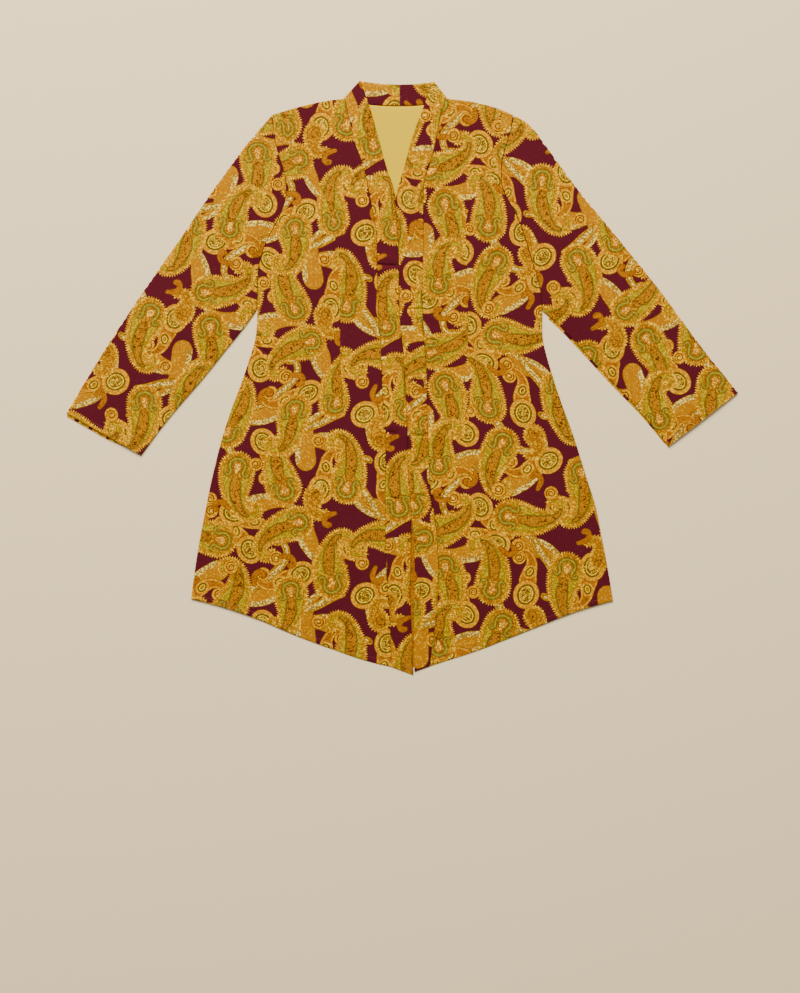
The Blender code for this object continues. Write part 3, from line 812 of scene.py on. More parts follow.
# Builds a piece of cloth as a closed wall: a printed outer side, an inner side and the rim between them
def buildCloth(outline, toSpace, outerPrint, innerPrint=None, lines=(), wall=None, regionOf=None, warp=None,
               seams=None, turned=False, pitch=None):
    wall = wall or clothSizes["wall"]
    if turned:
        # the cloth is drawn mirrored, so that its right side stays outwards
        outline = outline * (-1, 1)
        straight = toSpace

        def toSpace(points):
            return straight(points * (-1, 1))

    if loopArea(outline) < 0:
        outline = outline[::-1]
    lines = list(lines)
    normals = sideways(np.concatenate((outline[-1:], outline, outline[:1])))[1:-1]
    for inset in clothSizes["rings"]:
        lines.append(closedLine(outline + normals * inset))
    spots = spotGrid(outline, pitch or clothSizes["spots"], clothSizes["clear"])
    verts, faces, ink, _ = clothSide(outline, lines, spots, outerPrint, regionOf, warp)
    rim = rimOf(faces)
    outer = toSpace(verts)
    if seams is None:
        seams = [closedLine(outline)]
    away = np.min([distanceTo(seam, verts) for seam in seams], axis=0) / clothSizes["edge"]
    fall = 1 - np.sqrt(np.clip(1 - np.clip(1 - away, 0, 1) ** 2, 0, 1))
    outer -= normalsOf(toSpace, verts) * (fall * clothSizes["drop"] * min(wall, 1.0))[:, None]
    rimPoints = verts[rim]
    innerPitch = clothSizes["spots"] if innerPrint else clothSizes["innerSpots"]
    innerSpots = spotGrid(rimPoints, innerPitch, clothSizes["innerClear"])
    innerLines = lines[: -len(clothSizes["rings"])]
    innerVerts, innerFaces, innerInk, sources = clothSide(rimPoints, innerLines, innerSpots, innerPrint)
    inner = toSpace(innerVerts) - normalsOf(toSpace, innerVerts) * wall
    innerOf = {}
    for k, found in enumerate(sources):
        for source in found:
            if source < len(rim):
                innerOf[source] = k
    innerRim = rimOf(innerFaces)
    base = len(outer)
    # rim faces join the outer rim to the inner one, whose extra points lie between two outer ones
    position = {k: n for n, k in enumerate(innerRim)}
    rimFaces = []
    for k in range(len(rim)):
        a, b = rim[k], rim[(k + 1) % len(rim)]
        start, end = position[innerOf[k]], position[innerOf[(k + 1) % len(rim)]]
        steps = (end - start) % len(innerRim)
        rimFaces.append((b, a, *[base + innerRim[(start + n) % len(innerRim)] for n in range(steps + 1)]))
    inkOfEdge = {}
    for (a, b, c), colour in zip(faces.tolist(), ink.tolist()):
        for pair in ((a, b), (b, c), (c, a)):
            inkOfEdge[pair] = colour
    rimInk = np.array([inkOfEdge[(face[1], face[0])] for face in rimFaces])
    return {
        "points": np.concatenate((outer, inner)),
        "polygons": [tuple(f) for f in faces.tolist()]
        + [(base + a, base + c, base + b) for a, b, c in innerFaces.tolist()]
        + rimFaces,
        "inks": np.concatenate((ink, innerInk, rimInk)),
        "wrong": np.repeat((0, 0 if innerPrint else 1, 0), (len(faces), len(innerFaces), len(rimFaces))),
        "map": bakeMap(verts, innerVerts, faces, innerFaces, rimFaces),
        "area": abs(loopArea(outline)) * 1e-6,
        "cut": tuple((verts.max(0) - verts.min(0)) * mm),
    }


# The turned-in edges of a sewn seam: a thin strip below the two pieces that meet there
def seamStrip(line, top, half=5.0, thick=0.2):
    rows = len(line)
    across = sideways(line) * half
    top = np.asarray(top, float)
    low = np.maximum(top - thick, 0.02)
    corners = []
    for side, height in ((across, top), (-across, top), (-across, low), (across, low)):
        corners.append(np.column_stack((line + side, height)))
    points = np.stack(corners, 1).reshape(-1, 3)
    polygons = []
    for k in range(rows - 1):
        for a, b in ((0, 1), (1, 2), (2, 3), (3, 0)):
            polygons.append((4 * k + a, 4 * k + b, 4 * k + 4 + b, 4 * k + 4 + a))
    last = 4 * (rows - 1)
    polygons += [(0, 3, 2, 1), (last, last + 1, last + 2, last + 3)]
    cells = np.arange(len(polygons)) / len(polygons)
    corner = np.array([(0.02, 0.02), (0.02, 0.98), (0.98, 0.98), (0.98, 0.02)])
    cellX = cells[:, None] + corner[None, :, 0] / len(polygons)
    cell = np.stack((cellX, corner[None, :, 1] + 0 * cellX), 2)
    return {
        "points": points, "polygons": polygons, "inks": np.zeros(len(polygons), int),
        "wrong": np.zeros(len(polygons), int), "map": cell.reshape(-1, 2),
        "area": reachOf(line)[-1] * 2 * half * 1e-6, "cut": (2 * half * mm, reachOf(line)[-1] * mm),
    }


bakeSizes = {
    "rows": 80, "low": 0.005, "tall": 0.965, "outer": (0.004, 0.70), "inner": (0.716, 0.28),
    "rimLow": 0.978, "rimHigh": 0.996, "shellPart": 0.995,
}


# A map for baking: the outer side, the inner side and the rim side by side, rows stretched to full width
def bakeMap(verts, innerVerts, faces, innerFaces, rimFaces):
    low, high = verts.min(0), verts.max(0)
    count = bakeSizes["rows"]
    rows = np.linspace(low[1], high[1], count)
    left, right = np.full(count, 1e9), np.full(count, -1e9)
    place = ((verts[:, 1] - low[1]) / (high[1] - low[1]) * (count - 1)).astype(int)
    place = np.clip(place, 0, count - 2)
    for shift in (0, 1):
        np.minimum.at(left, place + shift, verts[:, 0])
        np.maximum.at(right, place + shift, verts[:, 0])

    def spread(points, start, width):
        l, r = np.interp(points[:, 1], rows, left), np.interp(points[:, 1], rows, right)
        across = np.clip((points[:, 0] - l) / np.maximum(r - l, 1.0), 0, 1)
        up = (points[:, 1] - low[1]) / (high[1] - low[1])
        return np.stack((start + across * width, bakeSizes["low"] + up * bakeSizes["tall"]), 1)

    parts = [spread(verts, *bakeSizes["outer"])[faces].reshape(-1, 2)]
    parts.append(spread(innerVerts, *bakeSizes["inner"])[innerFaces[:, [0, 2, 1]]].reshape(-1, 2))
    rim = []
    for k, face in enumerate(rimFaces):
        for n in range(len(face)):
            along = 1 - n if n < 2 else (n - 2) / max(len(face) - 3, 1)
            up = bakeSizes["rimLow"] if n < 2 else bakeSizes["rimHigh"]
            rim.append(((k + along * 0.9) / len(rimFaces), up))
    return np.concatenate(parts + [np.array(rim)])


# One object from closed shells of cloth, with the print's inks on its faces
def makePiece(name, shells, slot, flat=None, area=None, replaces=()):
    points = np.concatenate([shell["points"] for shell in shells])
    polygons, base = [], 0
    for shell in shells:
        polygons += [tuple(base + k for k in face) for face in shell["polygons"]]
        base += len(shell["points"])
    mesh = bpy.data.meshes.new(name)
    mesh.from_pydata((points * mm).tolist(), [], polygons)
    attribute = mesh.attributes.new("ink", "FLOAT", "FACE")
    inkValues = (np.concatenate([shell["inks"] for shell in shells]) + 0.5) / inkSlots
    attribute.data.foreach_set("value", inkValues.astype(np.float32))
    wrong = np.concatenate([shell["wrong"] for shell in shells])
    mesh.polygons.foreach_set("material_index", wrong.astype(np.int32))
    areas = np.array([shell["area"] for shell in shells])
    starts = np.concatenate(([0], np.cumsum(areas / areas.sum())))
    maps = []
    for shell, start, share in zip(shells, starts, areas / areas.sum()):
        maps.append(shell["map"] * (share * bakeSizes["shellPart"], 1) + (start, 0))
    layer = mesh.uv_layers.new(name="OFBake")
    layer.data.foreach_set("uv", np.concatenate(maps).astype(np.float32).ravel())
    mesh.shade_smooth()
    mesh.set_sharp_from_angle(angle=math.radians(clothSizes["sharp"]))
    for material in pieceMaterials[slot]:
        mesh.materials.append(material)
    piece = addObject(name, mesh)
    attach(piece, "root")
    if replaces:
        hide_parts(*replaces)
    flat = flat or max((shell["cut"] for shell in shells), key=lambda cut: cut[0] * cut[1])
    tuple(float(side) for side in flat)
    bound = [(points[:, k].min().round(1), points[:, k].max().round(1)) for k in range(3)]
    print(name, "triangles", sum(len(p) - 2 for p in polygons), "box", bound,
          "flat", [round(float(side), 3) for side in flat], "area", round(float(area or areas.sum()), 4))
    return piece


# Materials

pieceMaterials = {}


def newMaterial(name):
    material = bpy.data.materials.new(name)
    material.use_nodes = True
    tree = material.node_tree
    tree.nodes.clear()
    shader = addNode(tree, "ShaderNodeBsdfPrincipled")
    addNode(tree, "ShaderNodeOutputMaterial", Surface=shader.outputs[0])
    return material, tree, shader


# A stepped ramp that gives each ink its own colour
def inkRamp(tree, ink, colours):
    ramp = addNode(tree, "ShaderNodeValToRGB", Fac=ink)
    ramp.color_ramp.interpolation = "CONSTANT"
    stops = ramp.color_ramp.elements
    while len(stops) > 1:
        stops.remove(stops[-1])
    stops[0].position, stops[0].color = 0, colours[0]
    for k, colour in enumerate(colours[1:], 1):
        stops.new(k / inkSlots).color = colour
    return ramp.outputs[0]


# Flecks, worm lines and weave in mm, the weave coarser than the real one so that it shows
satinSizes = {"fleck": 2.941, "worm": 5.263, "weave": 0.6667, "plainWeave": 1.111, "relief": 0.3}
satinLook = {
    "flecks": (0.68, 0.76), "fleckShift": 0.36,  # noise where flecks begin, and how an ink's share shifts it
    "worms": (0.045, 0.075),                     # from the middle of a worm line to its soft edge
    "roughness": 0.6, "gloss": 0.0, "weave": 0.12, "plainWeave": 0.15,
}


# Satin printed with inks: flecks and worm lines break each flat colour up, a few millimetres apart
def printedSatin(name):
    material, tree, shader = newMaterial(name)
    place = addNode(tree, "ShaderNodeTexCoord").outputs["Object"]
    ink = addNode(tree, "ShaderNodeAttribute", {"attribute_name": "ink"}).outputs["Fac"]
    base = inkRamp(tree, ink, [linear(one[0]) for one in inks.values()])
    fleck = inkRamp(tree, ink, [linear(one[1]) for one in inks.values()])
    share = inkRamp(tree, ink, [(one[2],) * 3 + (1,) for one in inks.values()])
    worm = inkRamp(tree, ink, [(one[3],) * 3 + (1,) for one in inks.values()])
    grain = addNode(tree, "ShaderNodeTexNoise", Vector=place, Scale=1000 / satinSizes["fleck"],
                    Detail=1.5).outputs[0]
    lift = addNode(tree, "ShaderNodeMath", {"operation": "MULTIPLY_ADD"}, i0=share,
                   i1=satinLook["fleckShift"], i2=grain)
    none, full = satinLook["flecks"]
    dots = addNode(tree, "ShaderNodeMapRange", {"interpolation_type": "SMOOTHSTEP"}, Value=lift.outputs[0],
                   From_Min=none, From_Max=full)
    coil = addNode(tree, "ShaderNodeTexNoise", Vector=place, Scale=1000 / satinSizes["worm"], Detail=0.0,
                   Distortion=1.2).outputs[0]
    off = addNode(tree, "ShaderNodeMath", {"operation": "SUBTRACT"}, i0=coil, i1=0.5)
    off = addNode(tree, "ShaderNodeMath", {"operation": "ABSOLUTE"}, i0=off.outputs[0])
    middle, edge = satinLook["worms"]
    thread = addNode(tree, "ShaderNodeMapRange", Value=off.outputs[0], From_Min=middle, From_Max=edge,
                     To_Min=1.0, To_Max=0.0)
    thread = addNode(tree, "ShaderNodeMath", {"operation": "MULTIPLY"}, i0=thread.outputs[0], i1=worm)
    both = addNode(tree, "ShaderNodeMath", {"operation": "MAXIMUM"}, i0=dots.outputs[0], i1=thread.outputs[0])
    colour = addNode(tree, "ShaderNodeMix", {"data_type": "RGBA"}, Factor=both.outputs[0], i6=base, i7=fleck)
    tree.links.new(colour.outputs[2], shader.inputs["Base Color"])
    # this satin lies dull in soft light, and a clear gloss would wash its print out at low angles
    shader.inputs["Roughness"].default_value = satinLook["roughness"]
    shader.inputs["Specular IOR Level"].default_value = satinLook["gloss"]
    weave = addNode(tree, "ShaderNodeTexNoise", Vector=place, Scale=1000 / satinSizes["weave"],
                    Detail=1.0).outputs[0]
    bump = addNode(tree, "ShaderNodeBump", Strength=satinLook["weave"], Distance=satinSizes["relief"] * mm,
                   Height=weave)
    tree.links.new(bump.outputs[0], shader.inputs["Normal"])
    return material


# Woven cloth dyed in one colour: dull from every side, with a faint weave where light grazes it
def plainCloth(name, colour, roughness):
    material, tree, shader = newMaterial(name)
    place = addNode(tree, "ShaderNodeTexCoord").outputs["Object"]
    shader.inputs["Base Color"].default_value = linear(colour)
    shader.inputs["Roughness"].default_value = roughness
    shader.inputs["Specular IOR Level"].default_value = satinLook["gloss"]
    scale = 1000 / satinSizes["plainWeave"]
    weave = addNode(tree, "ShaderNodeTexNoise", Vector=place, Scale=scale, Detail=2.0).outputs[0]
    bump = addNode(tree, "ShaderNodeBump", Strength=satinLook["plainWeave"],
                   Distance=satinSizes["relief"] * mm, Height=weave)
    tree.links.new(bump.outputs[0], shader.inputs["Normal"])
    return material


satin = printedSatin("printedSatin")
satinWrongSide = plainCloth("satinWrongSide", "#7c4a18", 0.6)  # the unprinted side, a flat tan
liningCloth = plainCloth("yellowLining", "#d2b00e", 0.5)       # smooth lining, an even yellow
sewingThread = plainCloth("burgundyThread", "#8c4650", 0.5)    # a little paler than the print's ground
pieceMaterials["printed_satin"] = [satin, satinWrongSide]
pieceMaterials["printed_satin_band"] = [satin, satinWrongSide]
pieceMaterials["lining"] = [liningCloth, liningCloth]
print("materials ready")


# Front panels

frontSizes = {
    "dartStep": 4.0, "dartGroove": 0.6, "grooveWidth": 1.3, "hem": 8.0, "hemGroove": 0.3, "ridge": 1.6,
    "seamTop": {"armhole": 1.75, "bandSeam": 9.0}, "seamLeast": 0.15, "seamDrop": 1.05, "seamEdges": 10,
    "takeUpAt": (-81, -20, 40, 120, 230, 341), "takeUp": (0, 12, 22, 15, 6, 10),
}
fronts = {
    "front_right": {
        "side": -1, "offset": (-140, 60), "turn": 0,
        "dart": [(-181, 341), (-159, 336), (-149, 317), (-130, 302), (-123, 287), (-114, 264), (-108, 236),
                 (-107, 218), (-100, 143), (-99, 34), (-94, -48), (-89, -81)],
        "hemEnds": [(-338, -353), (-17, -462), (-180, -430)],
        "armhole": [(-208, 421), (-232, 109), (-190, 260)],
        "bandSeam": [(-92, 447), (-17, -462), (-45, 100)],
        "creases": [
            (-205, 389, -183, 365, 7, -0.9), (-183, 365, -181, 320, 8, -0.8), (-170, 380, -166, 340, 10, 0.6),
            (-243, 60, -197, 29, 8, -1.2), (-238, 78, -200, 48, 8, 0.8), (-232, 42, -190, 12, 8, 0.8),
            (-158, 215, -128, 80, 15, -0.7), (-60, 150, -82, 20, 12, -0.6), (-62, -100, -60, -240, 14, 0.7),
            (-250, -80, -275, -330, 22, 1.1), (-205, -60, -215, -380, 18, -0.9),
            (-120, -150, -130, -420, 22, 0.9), (-298, -200, -318, -335, 12, -0.7),
            (-66, -290, -50, -420, 13, -0.6), (-140, 420, -120, 330, 14, 0.6),
        ],
        "tucks": [(-243, 61, -204, 31, 2.0, 0.8), (-204, 387, -184, 364, 1.8, 0.6),
                  (-184, 364, -182, 324, 1.8, 0.6)],
    },
    "front_left": {
        "side": 1, "offset": (20, 40), "turn": 180,
        "dart": [(158, 333), (132, 324), (120, 308), (112, 287), (105, 266), (101, 247), (102, 213),
                 (104, 173), (105, 125), (105, 52), (106, 10)],
        "hemEnds": [(337, -356), (44, -461), (190, -430)],
        "armhole": [(177, 421), (224, 107), (190, 260)],
        "bandSeam": [(70, 447), (44, -461), (45, 100)],
        "creases": [
            (80, 405, 60, 365, 8, -1.0), (60, 365, 37, 320, 9, -0.9), (74, 380, 52, 330, 9, 0.8),
            (37, 62, 52, 60, 5, -0.9), (41, -187, 66, -195, 6, -1.0), (46, -176, 74, -184, 7, 0.6),
            (228, 58, 186, 34, 9, -0.9), (222, 76, 186, 54, 9, 0.7), (152, 200, 126, 80, 15, -0.7),
            (240, -90, 268, -330, 21, 1.0), (190, -40, 205, -370, 18, -0.8), (110, -140, 118, -410, 22, 0.9),
            (300, -210, 316, -330, 12, -0.7), (70, -60, 72, -180, 12, -0.6), (158, 324, 172, 262, 8, -1.0),
        ],
        "tucks": [(39, 63, 54, 60, 1.3, 0.8), (44, -190, 64, -195, 1.4, 0.6), (78, 401, 60, 365, 1.8, 0.5),
                  (60, 365, 44, 334, 1.8, 0.4)],
    },
}
seamStitches = []


# A line inside an outline, a set distance from a stretch of it
def insetLine(stretch, distance, outline):
    shifted = stretch + sideways(stretch) * distance
    if not insideLoop(outline, shifted[len(shifted) // 2][None])[0]:
        shifted = stretch - sideways(stretch) * distance
    return shifted[insideLoop(outline, shifted)]


# Narrow creases get their own edges in the mesh, along the fold and to both sides of it
def creaseLines(creases, outline, spread=0.6, widest=9.5, step=3.0):
    lines = []
    for x1, y1, x2, y2, width, _ in creases:
        if width > widest:
            continue
        line = np.linspace((x1, y1), (x2, y2), max(3, round(math.hypot(x2 - x1, y2 - y1) / step)))
        for way in (-spread, 0, spread):
            shifted = line + sideways(line) * way * width
            shifted = shifted[insideLoop(outline, shifted)]
            if len(shifted) > 1:
                lines.append(shifted)
    return lines


# Tucks are short sharp folds where a closure or a seam pulls: x1, y1, x2, y2, half width, depth
def tuckGrooves(tucks):
    return [(np.array([(x1, y1), (x2, y2)], float), depth, width) for x1, y1, x2, y2, width, depth in tucks]


def buildFront(name, how):
    outline = smoothOutline(upperSkins(name)[0][2], clothSizes["seamStep"])
    relief = readRelief(name)
    addCreases(relief, how["creases"])
    dart = throughPoints(how["dart"], frontSizes["dartStep"])
    marks = np.array(sorted(how["dart"], key=lambda p: p[1]), float)
    side = how["side"]
    normals = sideways(dart)
    hem = insetLine(stretchOf(outline, *how["hemEnds"]), frontSizes["hem"], outline)
    lines = [dart + normals * way * frontSizes["ridge"] for way in (0, 1, -1)] + [hem]
    lines += creaseLines(how["creases"], outline) + creaseLines(how["tucks"], outline, 1.0)
    grooves = [(dart, frontSizes["dartGroove"], frontSizes["grooveWidth"]),
               (hem, frontSizes["hemGroove"], frontSizes["grooveWidth"])]
    depthAt = grooveDepth(grooves + tuckGrooves(how["tucks"]))

    def regionOf(points, margin):
        edge = np.interp(points[:, 1], marks[:, 1], marks[:, 0])
        return ((points[:, 0] - edge) * side > -margin).astype(int)

    def warp(loop):
        take = np.interp(loop[:, 1], frontSizes["takeUpAt"], frontSizes["takeUp"])
        return loop - np.stack((take * side, take * 0), 1)

    def toSpace(points):
        return onRelief(relief, points, depthAt(points))

    seamStitches.append(toSpace(hem))
    shell = buildCloth(outline, toSpace, how, lines=lines, regionOf=regionOf, warp=warp)
    strips = []
    for key, most in frontSizes["seamTop"].items():
        line = stretchOf(outline, *how[key])[1:-1]
        top = reliefAt(relief, line[:, 0], line[:, 1]) - frontSizes["seamDrop"]
        strips.append(seamStrip(line, np.clip(top, frontSizes["seamLeast"], most)))
    takeUp = np.trapz(frontSizes["takeUp"], frontSizes["takeUpAt"]) * 1e-6
    width, length = shell["cut"]
    area = shell["area"] + takeUp + sum(strip["area"] for strip in strips)
    makePiece(name + "Cloth", [shell] + strips, "printed_satin",
              (width + (max(frontSizes["takeUp"]) + frontSizes["seamEdges"]) * mm, length), area, [name])


for name, how in fronts.items():
    buildFront(name, how)
print("fronts ready")


# Back panel, printed side down, and its lining, which shows inside the neck

backSizes = {"wall": 1.0, "pitch": 16.0}
liningSizes = {"wall": 0.8, "creases": [(-4, 436, -5, 300, 2.2, 0.25)]}


def buildBack():
    outline = smoothOutline(upperSkins("back")[0][2], clothSizes["seamStep"]) * (-1, 1)

    def toSpace(points):
        return np.column_stack((-points[:, 0], points[:, 1], np.zeros(len(points))))

    # the back is flat and lies face down, so that fewer points and layers of the print do
    motifPrint = {"offset": (60, -20), "turn": 0, "without": ("darkLine", "curlLight")}
    shell = buildCloth(outline[::-1], toSpace, motifPrint, wall=backSizes["wall"], pitch=backSizes["pitch"])
    makePiece("backCloth", [shell], "printed_satin", replaces=["back"])


def buildLining():
    outline = smoothOutline(upperSkins("back_lining")[0][2], clothSizes["seamStep"])
    relief = readRelief("back_lining")
    addCreases(relief, liningSizes["creases"])

    def toSpace(points):
        return onRelief(relief, points)

    shell = buildCloth(outline, toSpace, None, wall=liningSizes["wall"])
    makePiece("liningCloth", [shell], "lining", replaces=["back_lining"])


buildBack()
buildLining()
print("back ready")


# Collar and front bands, cut double: the front part and the half behind the neck

bandSizes = {
    "wall": 1.2, "hem": 8.0, "step": 3.0, "blur": 3.5,
    "slitHalf": 5.5, "slitStep": 8.0, "slitTop": 1.45, "slitLow": 0.28, "slitDrop": -385,  # it drops there
}
bands = {
    "collar_band_right": {
        "offset": (-60, 180), "turn": 4, "backOffset": (30, 90), "backTurn": 60,
        "hemEnds": [(-17, -462), (18, -475), (0, -470)],
        "creases": [
            (-42, 182, -8, 180, 4.5, -1.2), (-42, 192, -8, 189, 5, 0.6), (-42, 172, -8, 170, 5, 0.7),
            (-30, -84, -6, -88, 5, -0.9), (-30, -75, -6, -79, 5, 0.5), (-30, -187, -4, -194, 4.5, -1.1),
            (-28, -177, -4, -183, 5, 0.6), (-40, 60, -14, 50, 7, -0.5), (-24, -300, -8, -330, 8, 0.5),
        ],
        "tucks": [(-41, 182, -9, 180, 1.4, 0.9), (-31, -84, -7, -89, 1.3, 0.7),
                  (-28, -189, -6, -193, 1.3, 0.6), (-26, 97, -8, 95, 1.4, 0.4)],
    },
    "collar_band_left": {
        "offset": (90, 30), "turn": -6, "backOffset": (-70, 20), "backTurn": 120,
        "hemEnds": [(44, -461), (19.4, -470), (30, -466)],
        "slit": [(16.5, -222), (16.5, -300), (17, -380), (19, -462)],
        "creases": [
            (8, 181, 34, 181, 4, -0.7), (9, 110, 31, 111, 4, -1.3), (10, 117, 30, 141, 5, 1.0),
            (17, 124, 33, 150, 4.5, -0.6), (6, -88, 39, -93, 5, -0.9), (8, -79, 39, -84, 5, 0.5),
            (20, -186, 42, -190, 5, -0.7), (10, 20, 38, 6, 7, -0.5), (22, -330, 40, -350, 8, 0.5),
        ],
        "tucks": [(10, 110, 30, 111, 1.4, 0.9), (13, 114, 29, 137, 1.3, 0.5), (10, 181, 30, 182, 1.3, 0.5),
                  (8, -90, 38, -94, 1.3, 0.6), (30, 66, 37, 64, 1.3, 0.6), (22, -187, 41, -190, 1.3, 0.5)],
    },
}


def buildBand(name, how):
    skins = upperSkins(name)
    relief = readRelief(name, bandSizes["blur"])
    addCreases(relief, how["creases"])
    depthAt = grooveDepth(tuckGrooves(how["tucks"]))
    low = skins[-1][1]

    def frontToSpace(points):
        return onRelief(relief, points, depthAt(points))

    def neckToSpace(points):
        return np.column_stack((points, np.full(len(points), low)))

    front, neck = (smoothOutline(outline, bandSizes["step"]) for _, _, outline in skins[:2])
    lines = creaseLines(how["creases"], front) + creaseLines(how["tucks"], front, 1.0)
    hem = insetLine(stretchOf(front, *how["hemEnds"]), bandSizes["hem"], front)
    if len(hem) > 1:
        seamStitches.append(frontToSpace(hem))
    neckPrint = {"offset": how["backOffset"], "turn": how["backTurn"]}
    shells = [buildCloth(front, frontToSpace, how, lines=lines, wall=bandSizes["wall"]),
              buildCloth(neck, neckToSpace, neckPrint, wall=bandSizes["wall"])]
    if "slit" in how:
        # the turned-in edge of this band shows in the slit below the last closure
        line = throughPoints(how["slit"], bandSizes["slitStep"])
        top = np.where(line[:, 1] > bandSizes["slitDrop"], bandSizes["slitTop"], bandSizes["slitLow"])
        strip = seamStrip(line, top, bandSizes["slitHalf"])
        strip["inks"][:] = inkNames.index("tail")
        shells.append(strip)
    makePiece(name + "Cloth", shells, "printed_satin_band", replaces=[name])


for name, how in bands.items():
    buildBand(name, how)
print("bands ready")


# Sleeves, flattened tubes: the cloth runs round the top fold, and its edges meet in the seam below

sleeveSizes = {"half": 1.35, "wall": 0.6, "roll": 1.8, "least": 2.4, "hem": 9.0, "apart": 0.05}
sleeves = {
    "sleeve_right": {
        "tip": (-208, 421), "cuff": (-537, -56), "seam": [(-232, 109), (-417, -124)],
        "offset": (40, 30), "turn": 20,
        "creases": [
            (-222, 312, -227, 258, 9, -0.9), (-214, 240, -228, 180, 10, -0.6),
            (-330, 170, -372, 100, 16, 0.7), (-300, 60, -350, 20, 14, -0.6),
            (-420, 40, -455, -20, 15, 0.6), (-380, -40, -405, -80, 10, -0.5),
        ],
        # the lower layer's hem shows along this stretch of the cuff
        "peek": {"ends": [(-537, -56), (-417, -124), (-480, -90)], "part": (0.02, 0.84), "half": 2.8,
                 "out": 1.3, "back": 3.8, "top": 1.05},
    },
    "sleeve_left": {
        "tip": (177, 421), "cuff": (537, -23), "seam": [(224, 107), (425, -110)],
        "offset": (-30, 80), "turn": -24,
        "creases": [
            (212, 322, 222, 290, 9, -0.7), (235, 262, 250, 190, 14, 0.6), (330, 150, 372, 90, 16, 0.7),
            (290, 60, 330, 10, 14, -0.6), (440, 40, 470, -20, 14, 0.6), (392, -30, 420, -72, 10, -0.5),
        ],
        # the under seam has rolled a little to the front here
        "peek": {"ends": [(224, 107), (425, -110), (320, -15)], "part": (0.05, 0.97), "half": 1.9, "out": 0.9,
                 "back": 2.0, "top": 0.6},
    },
}
peekSizes = {"steps": 50, "slipFrom": 0.62, "thick": 0.35, "facesAnInk": 11}
peekInks = ("gold", "rim", "ground", "fringe", "green", "gold", "ground", "rim", "heart")


# A narrow stretch of the layer below that shows beyond an edge, and slips under it at its far end
def peekStrip(peek, outline):
    line = stretchOf(outline, *peek["ends"])
    share = np.linspace(0, 1, peekSizes["steps"])
    line = pointsAt(line, reachOf(line)[-1] * (peek["part"][0] + share * (peek["part"][1] - peek["part"][0])))
    out = sideways(line)
    if insideLoop(outline, (line + out * 2)[:1])[0]:
        out = -out
    late = peekSizes["slipFrom"]
    slip = peek["out"] - peek["back"] * smoothShare((share - late) / (1 - late))
    top = np.full(len(line), peek["top"])
    strip = seamStrip(line + out * slip[:, None], top, peek["half"], peekSizes["thick"])
    inkOf = [inkNames.index(name) for name in peekInks]
    turns = np.arange(len(strip["inks"])) // peekSizes["facesAnInk"]
    strip["inks"][:] = [inkOf[k % len(inkOf)] for k in turns]
    return strip


def buildSleeve(name, how):
    outline = max(upperSkins(name)[:2], key=lambda skin: skin[1])[2]
    outline = smoothOutline(outline, clothSizes["seamStep"])
    relief = readRelief(name)
    addCreases(relief, how["creases"])
    parts = partsOf(outline, how["tip"], how["cuff"])
    tip, cuff = parts[0][0], parts[0][-1]
    long = np.linalg.norm(cuff - tip)
    along = (cuff - tip) / long
    across = np.array((-along[1], along[0]))
    if (outline.mean(0) - tip) @ across < 0:
        across = -across
    fold, rest = sorted(parts, key=lambda part: np.abs((part - tip) @ across).max())
    foldB, foldA = (fold - tip) @ along, (fold - tip) @ across

    def bulge(b):
        return np.interp(b, foldB, foldA)

    b = (rest - tip) @ along
    path = np.stack((np.maximum((rest - tip) @ across - bulge(b), 0), b), 1)
    path[0, 0] = path[-1, 0] = 0
    domain = np.concatenate((path, (path * (-1, 1))[::-1][1:-1]))
    ends = [np.argmin(np.linalg.norm(rest - corner, axis=1)) for corner in how["seam"]]
    seam = path[min(ends) : max(ends) + 1]
    half, wall, roll = sleeveSizes["half"], sleeveSizes["wall"], sleeveSizes["roll"]
    toSeam = lineProbe(seam)

    def toSpace(points):
        s = np.abs(points[:, 0])
        angle = np.clip(s / half, 0, np.pi / 2)
        a = bulge(points[:, 1]) + half * (1 - np.cos(angle)) + np.maximum(s - half * np.pi / 2, 0)
        xy = tip + a[:, None] * across + points[:, 1:] * along
        top = np.maximum(reliefAt(relief, xy[:, 0], xy[:, 1]), sleeveSizes["least"])
        d = toSeam(np.stack((s, points[:, 1]), 1)) / roll
        turnIn = np.sqrt(np.clip(1 - np.clip(1 - d, 0, 1) ** 2, 0, 1))
        edge = wall + sleeveSizes["apart"]
        rise = np.sin(angle)
        above = half + (top - half) * rise
        above = np.where(angle >= np.pi / 2, half + edge + (above - half - edge) * turnIn, above)
        below = half - half * rise
        below = np.where(angle >= np.pi / 2, half - edge + (below - half + edge) * turnIn, below)
        return np.column_stack((xy, np.where(points[:, 0] > 0, above, below)))

    # the cuff's hem runs round the tube, from the under seam over the top fold and back
    cuffLine = path[max(ends) :] if path[-1, 1] > path[0, 1] else path[: min(ends) + 1][::-1]
    hem = insetLine(np.concatenate((cuffLine, (cuffLine * (-1, 1))[-2::-1])), sleeveSizes["hem"], domain)
    seamStitches.append(toSpace(hem[hem[:, 0] > 0]))
    # toSpace rolls the edges in, so the seam that would round them lies beyond the cloth
    beyond = np.array([(0.0, -900.0), (1.0, -900.0)])
    shell = buildCloth(domain, toSpace, how, lines=[hem], wall=wall, turned=np.cross(across, along) < 0,
                       seams=[beyond])
    makePiece(name + "Cloth", [shell, peekStrip(how["peek"], outline)], "printed_satin", replaces=[name])


for name, how in sleeves.items():
    buildSleeve(name, how)
print("sleeves ready")


# Hem stitches, laid along the hem lines by Geometry Nodes and turned into a plain mesh

stitchSizes = {"pitch": 3.2, "long": 2.2, "thick": 0.45, "least": 0.88, "most": 1.08, "lift": 0.05, "seed": 7}


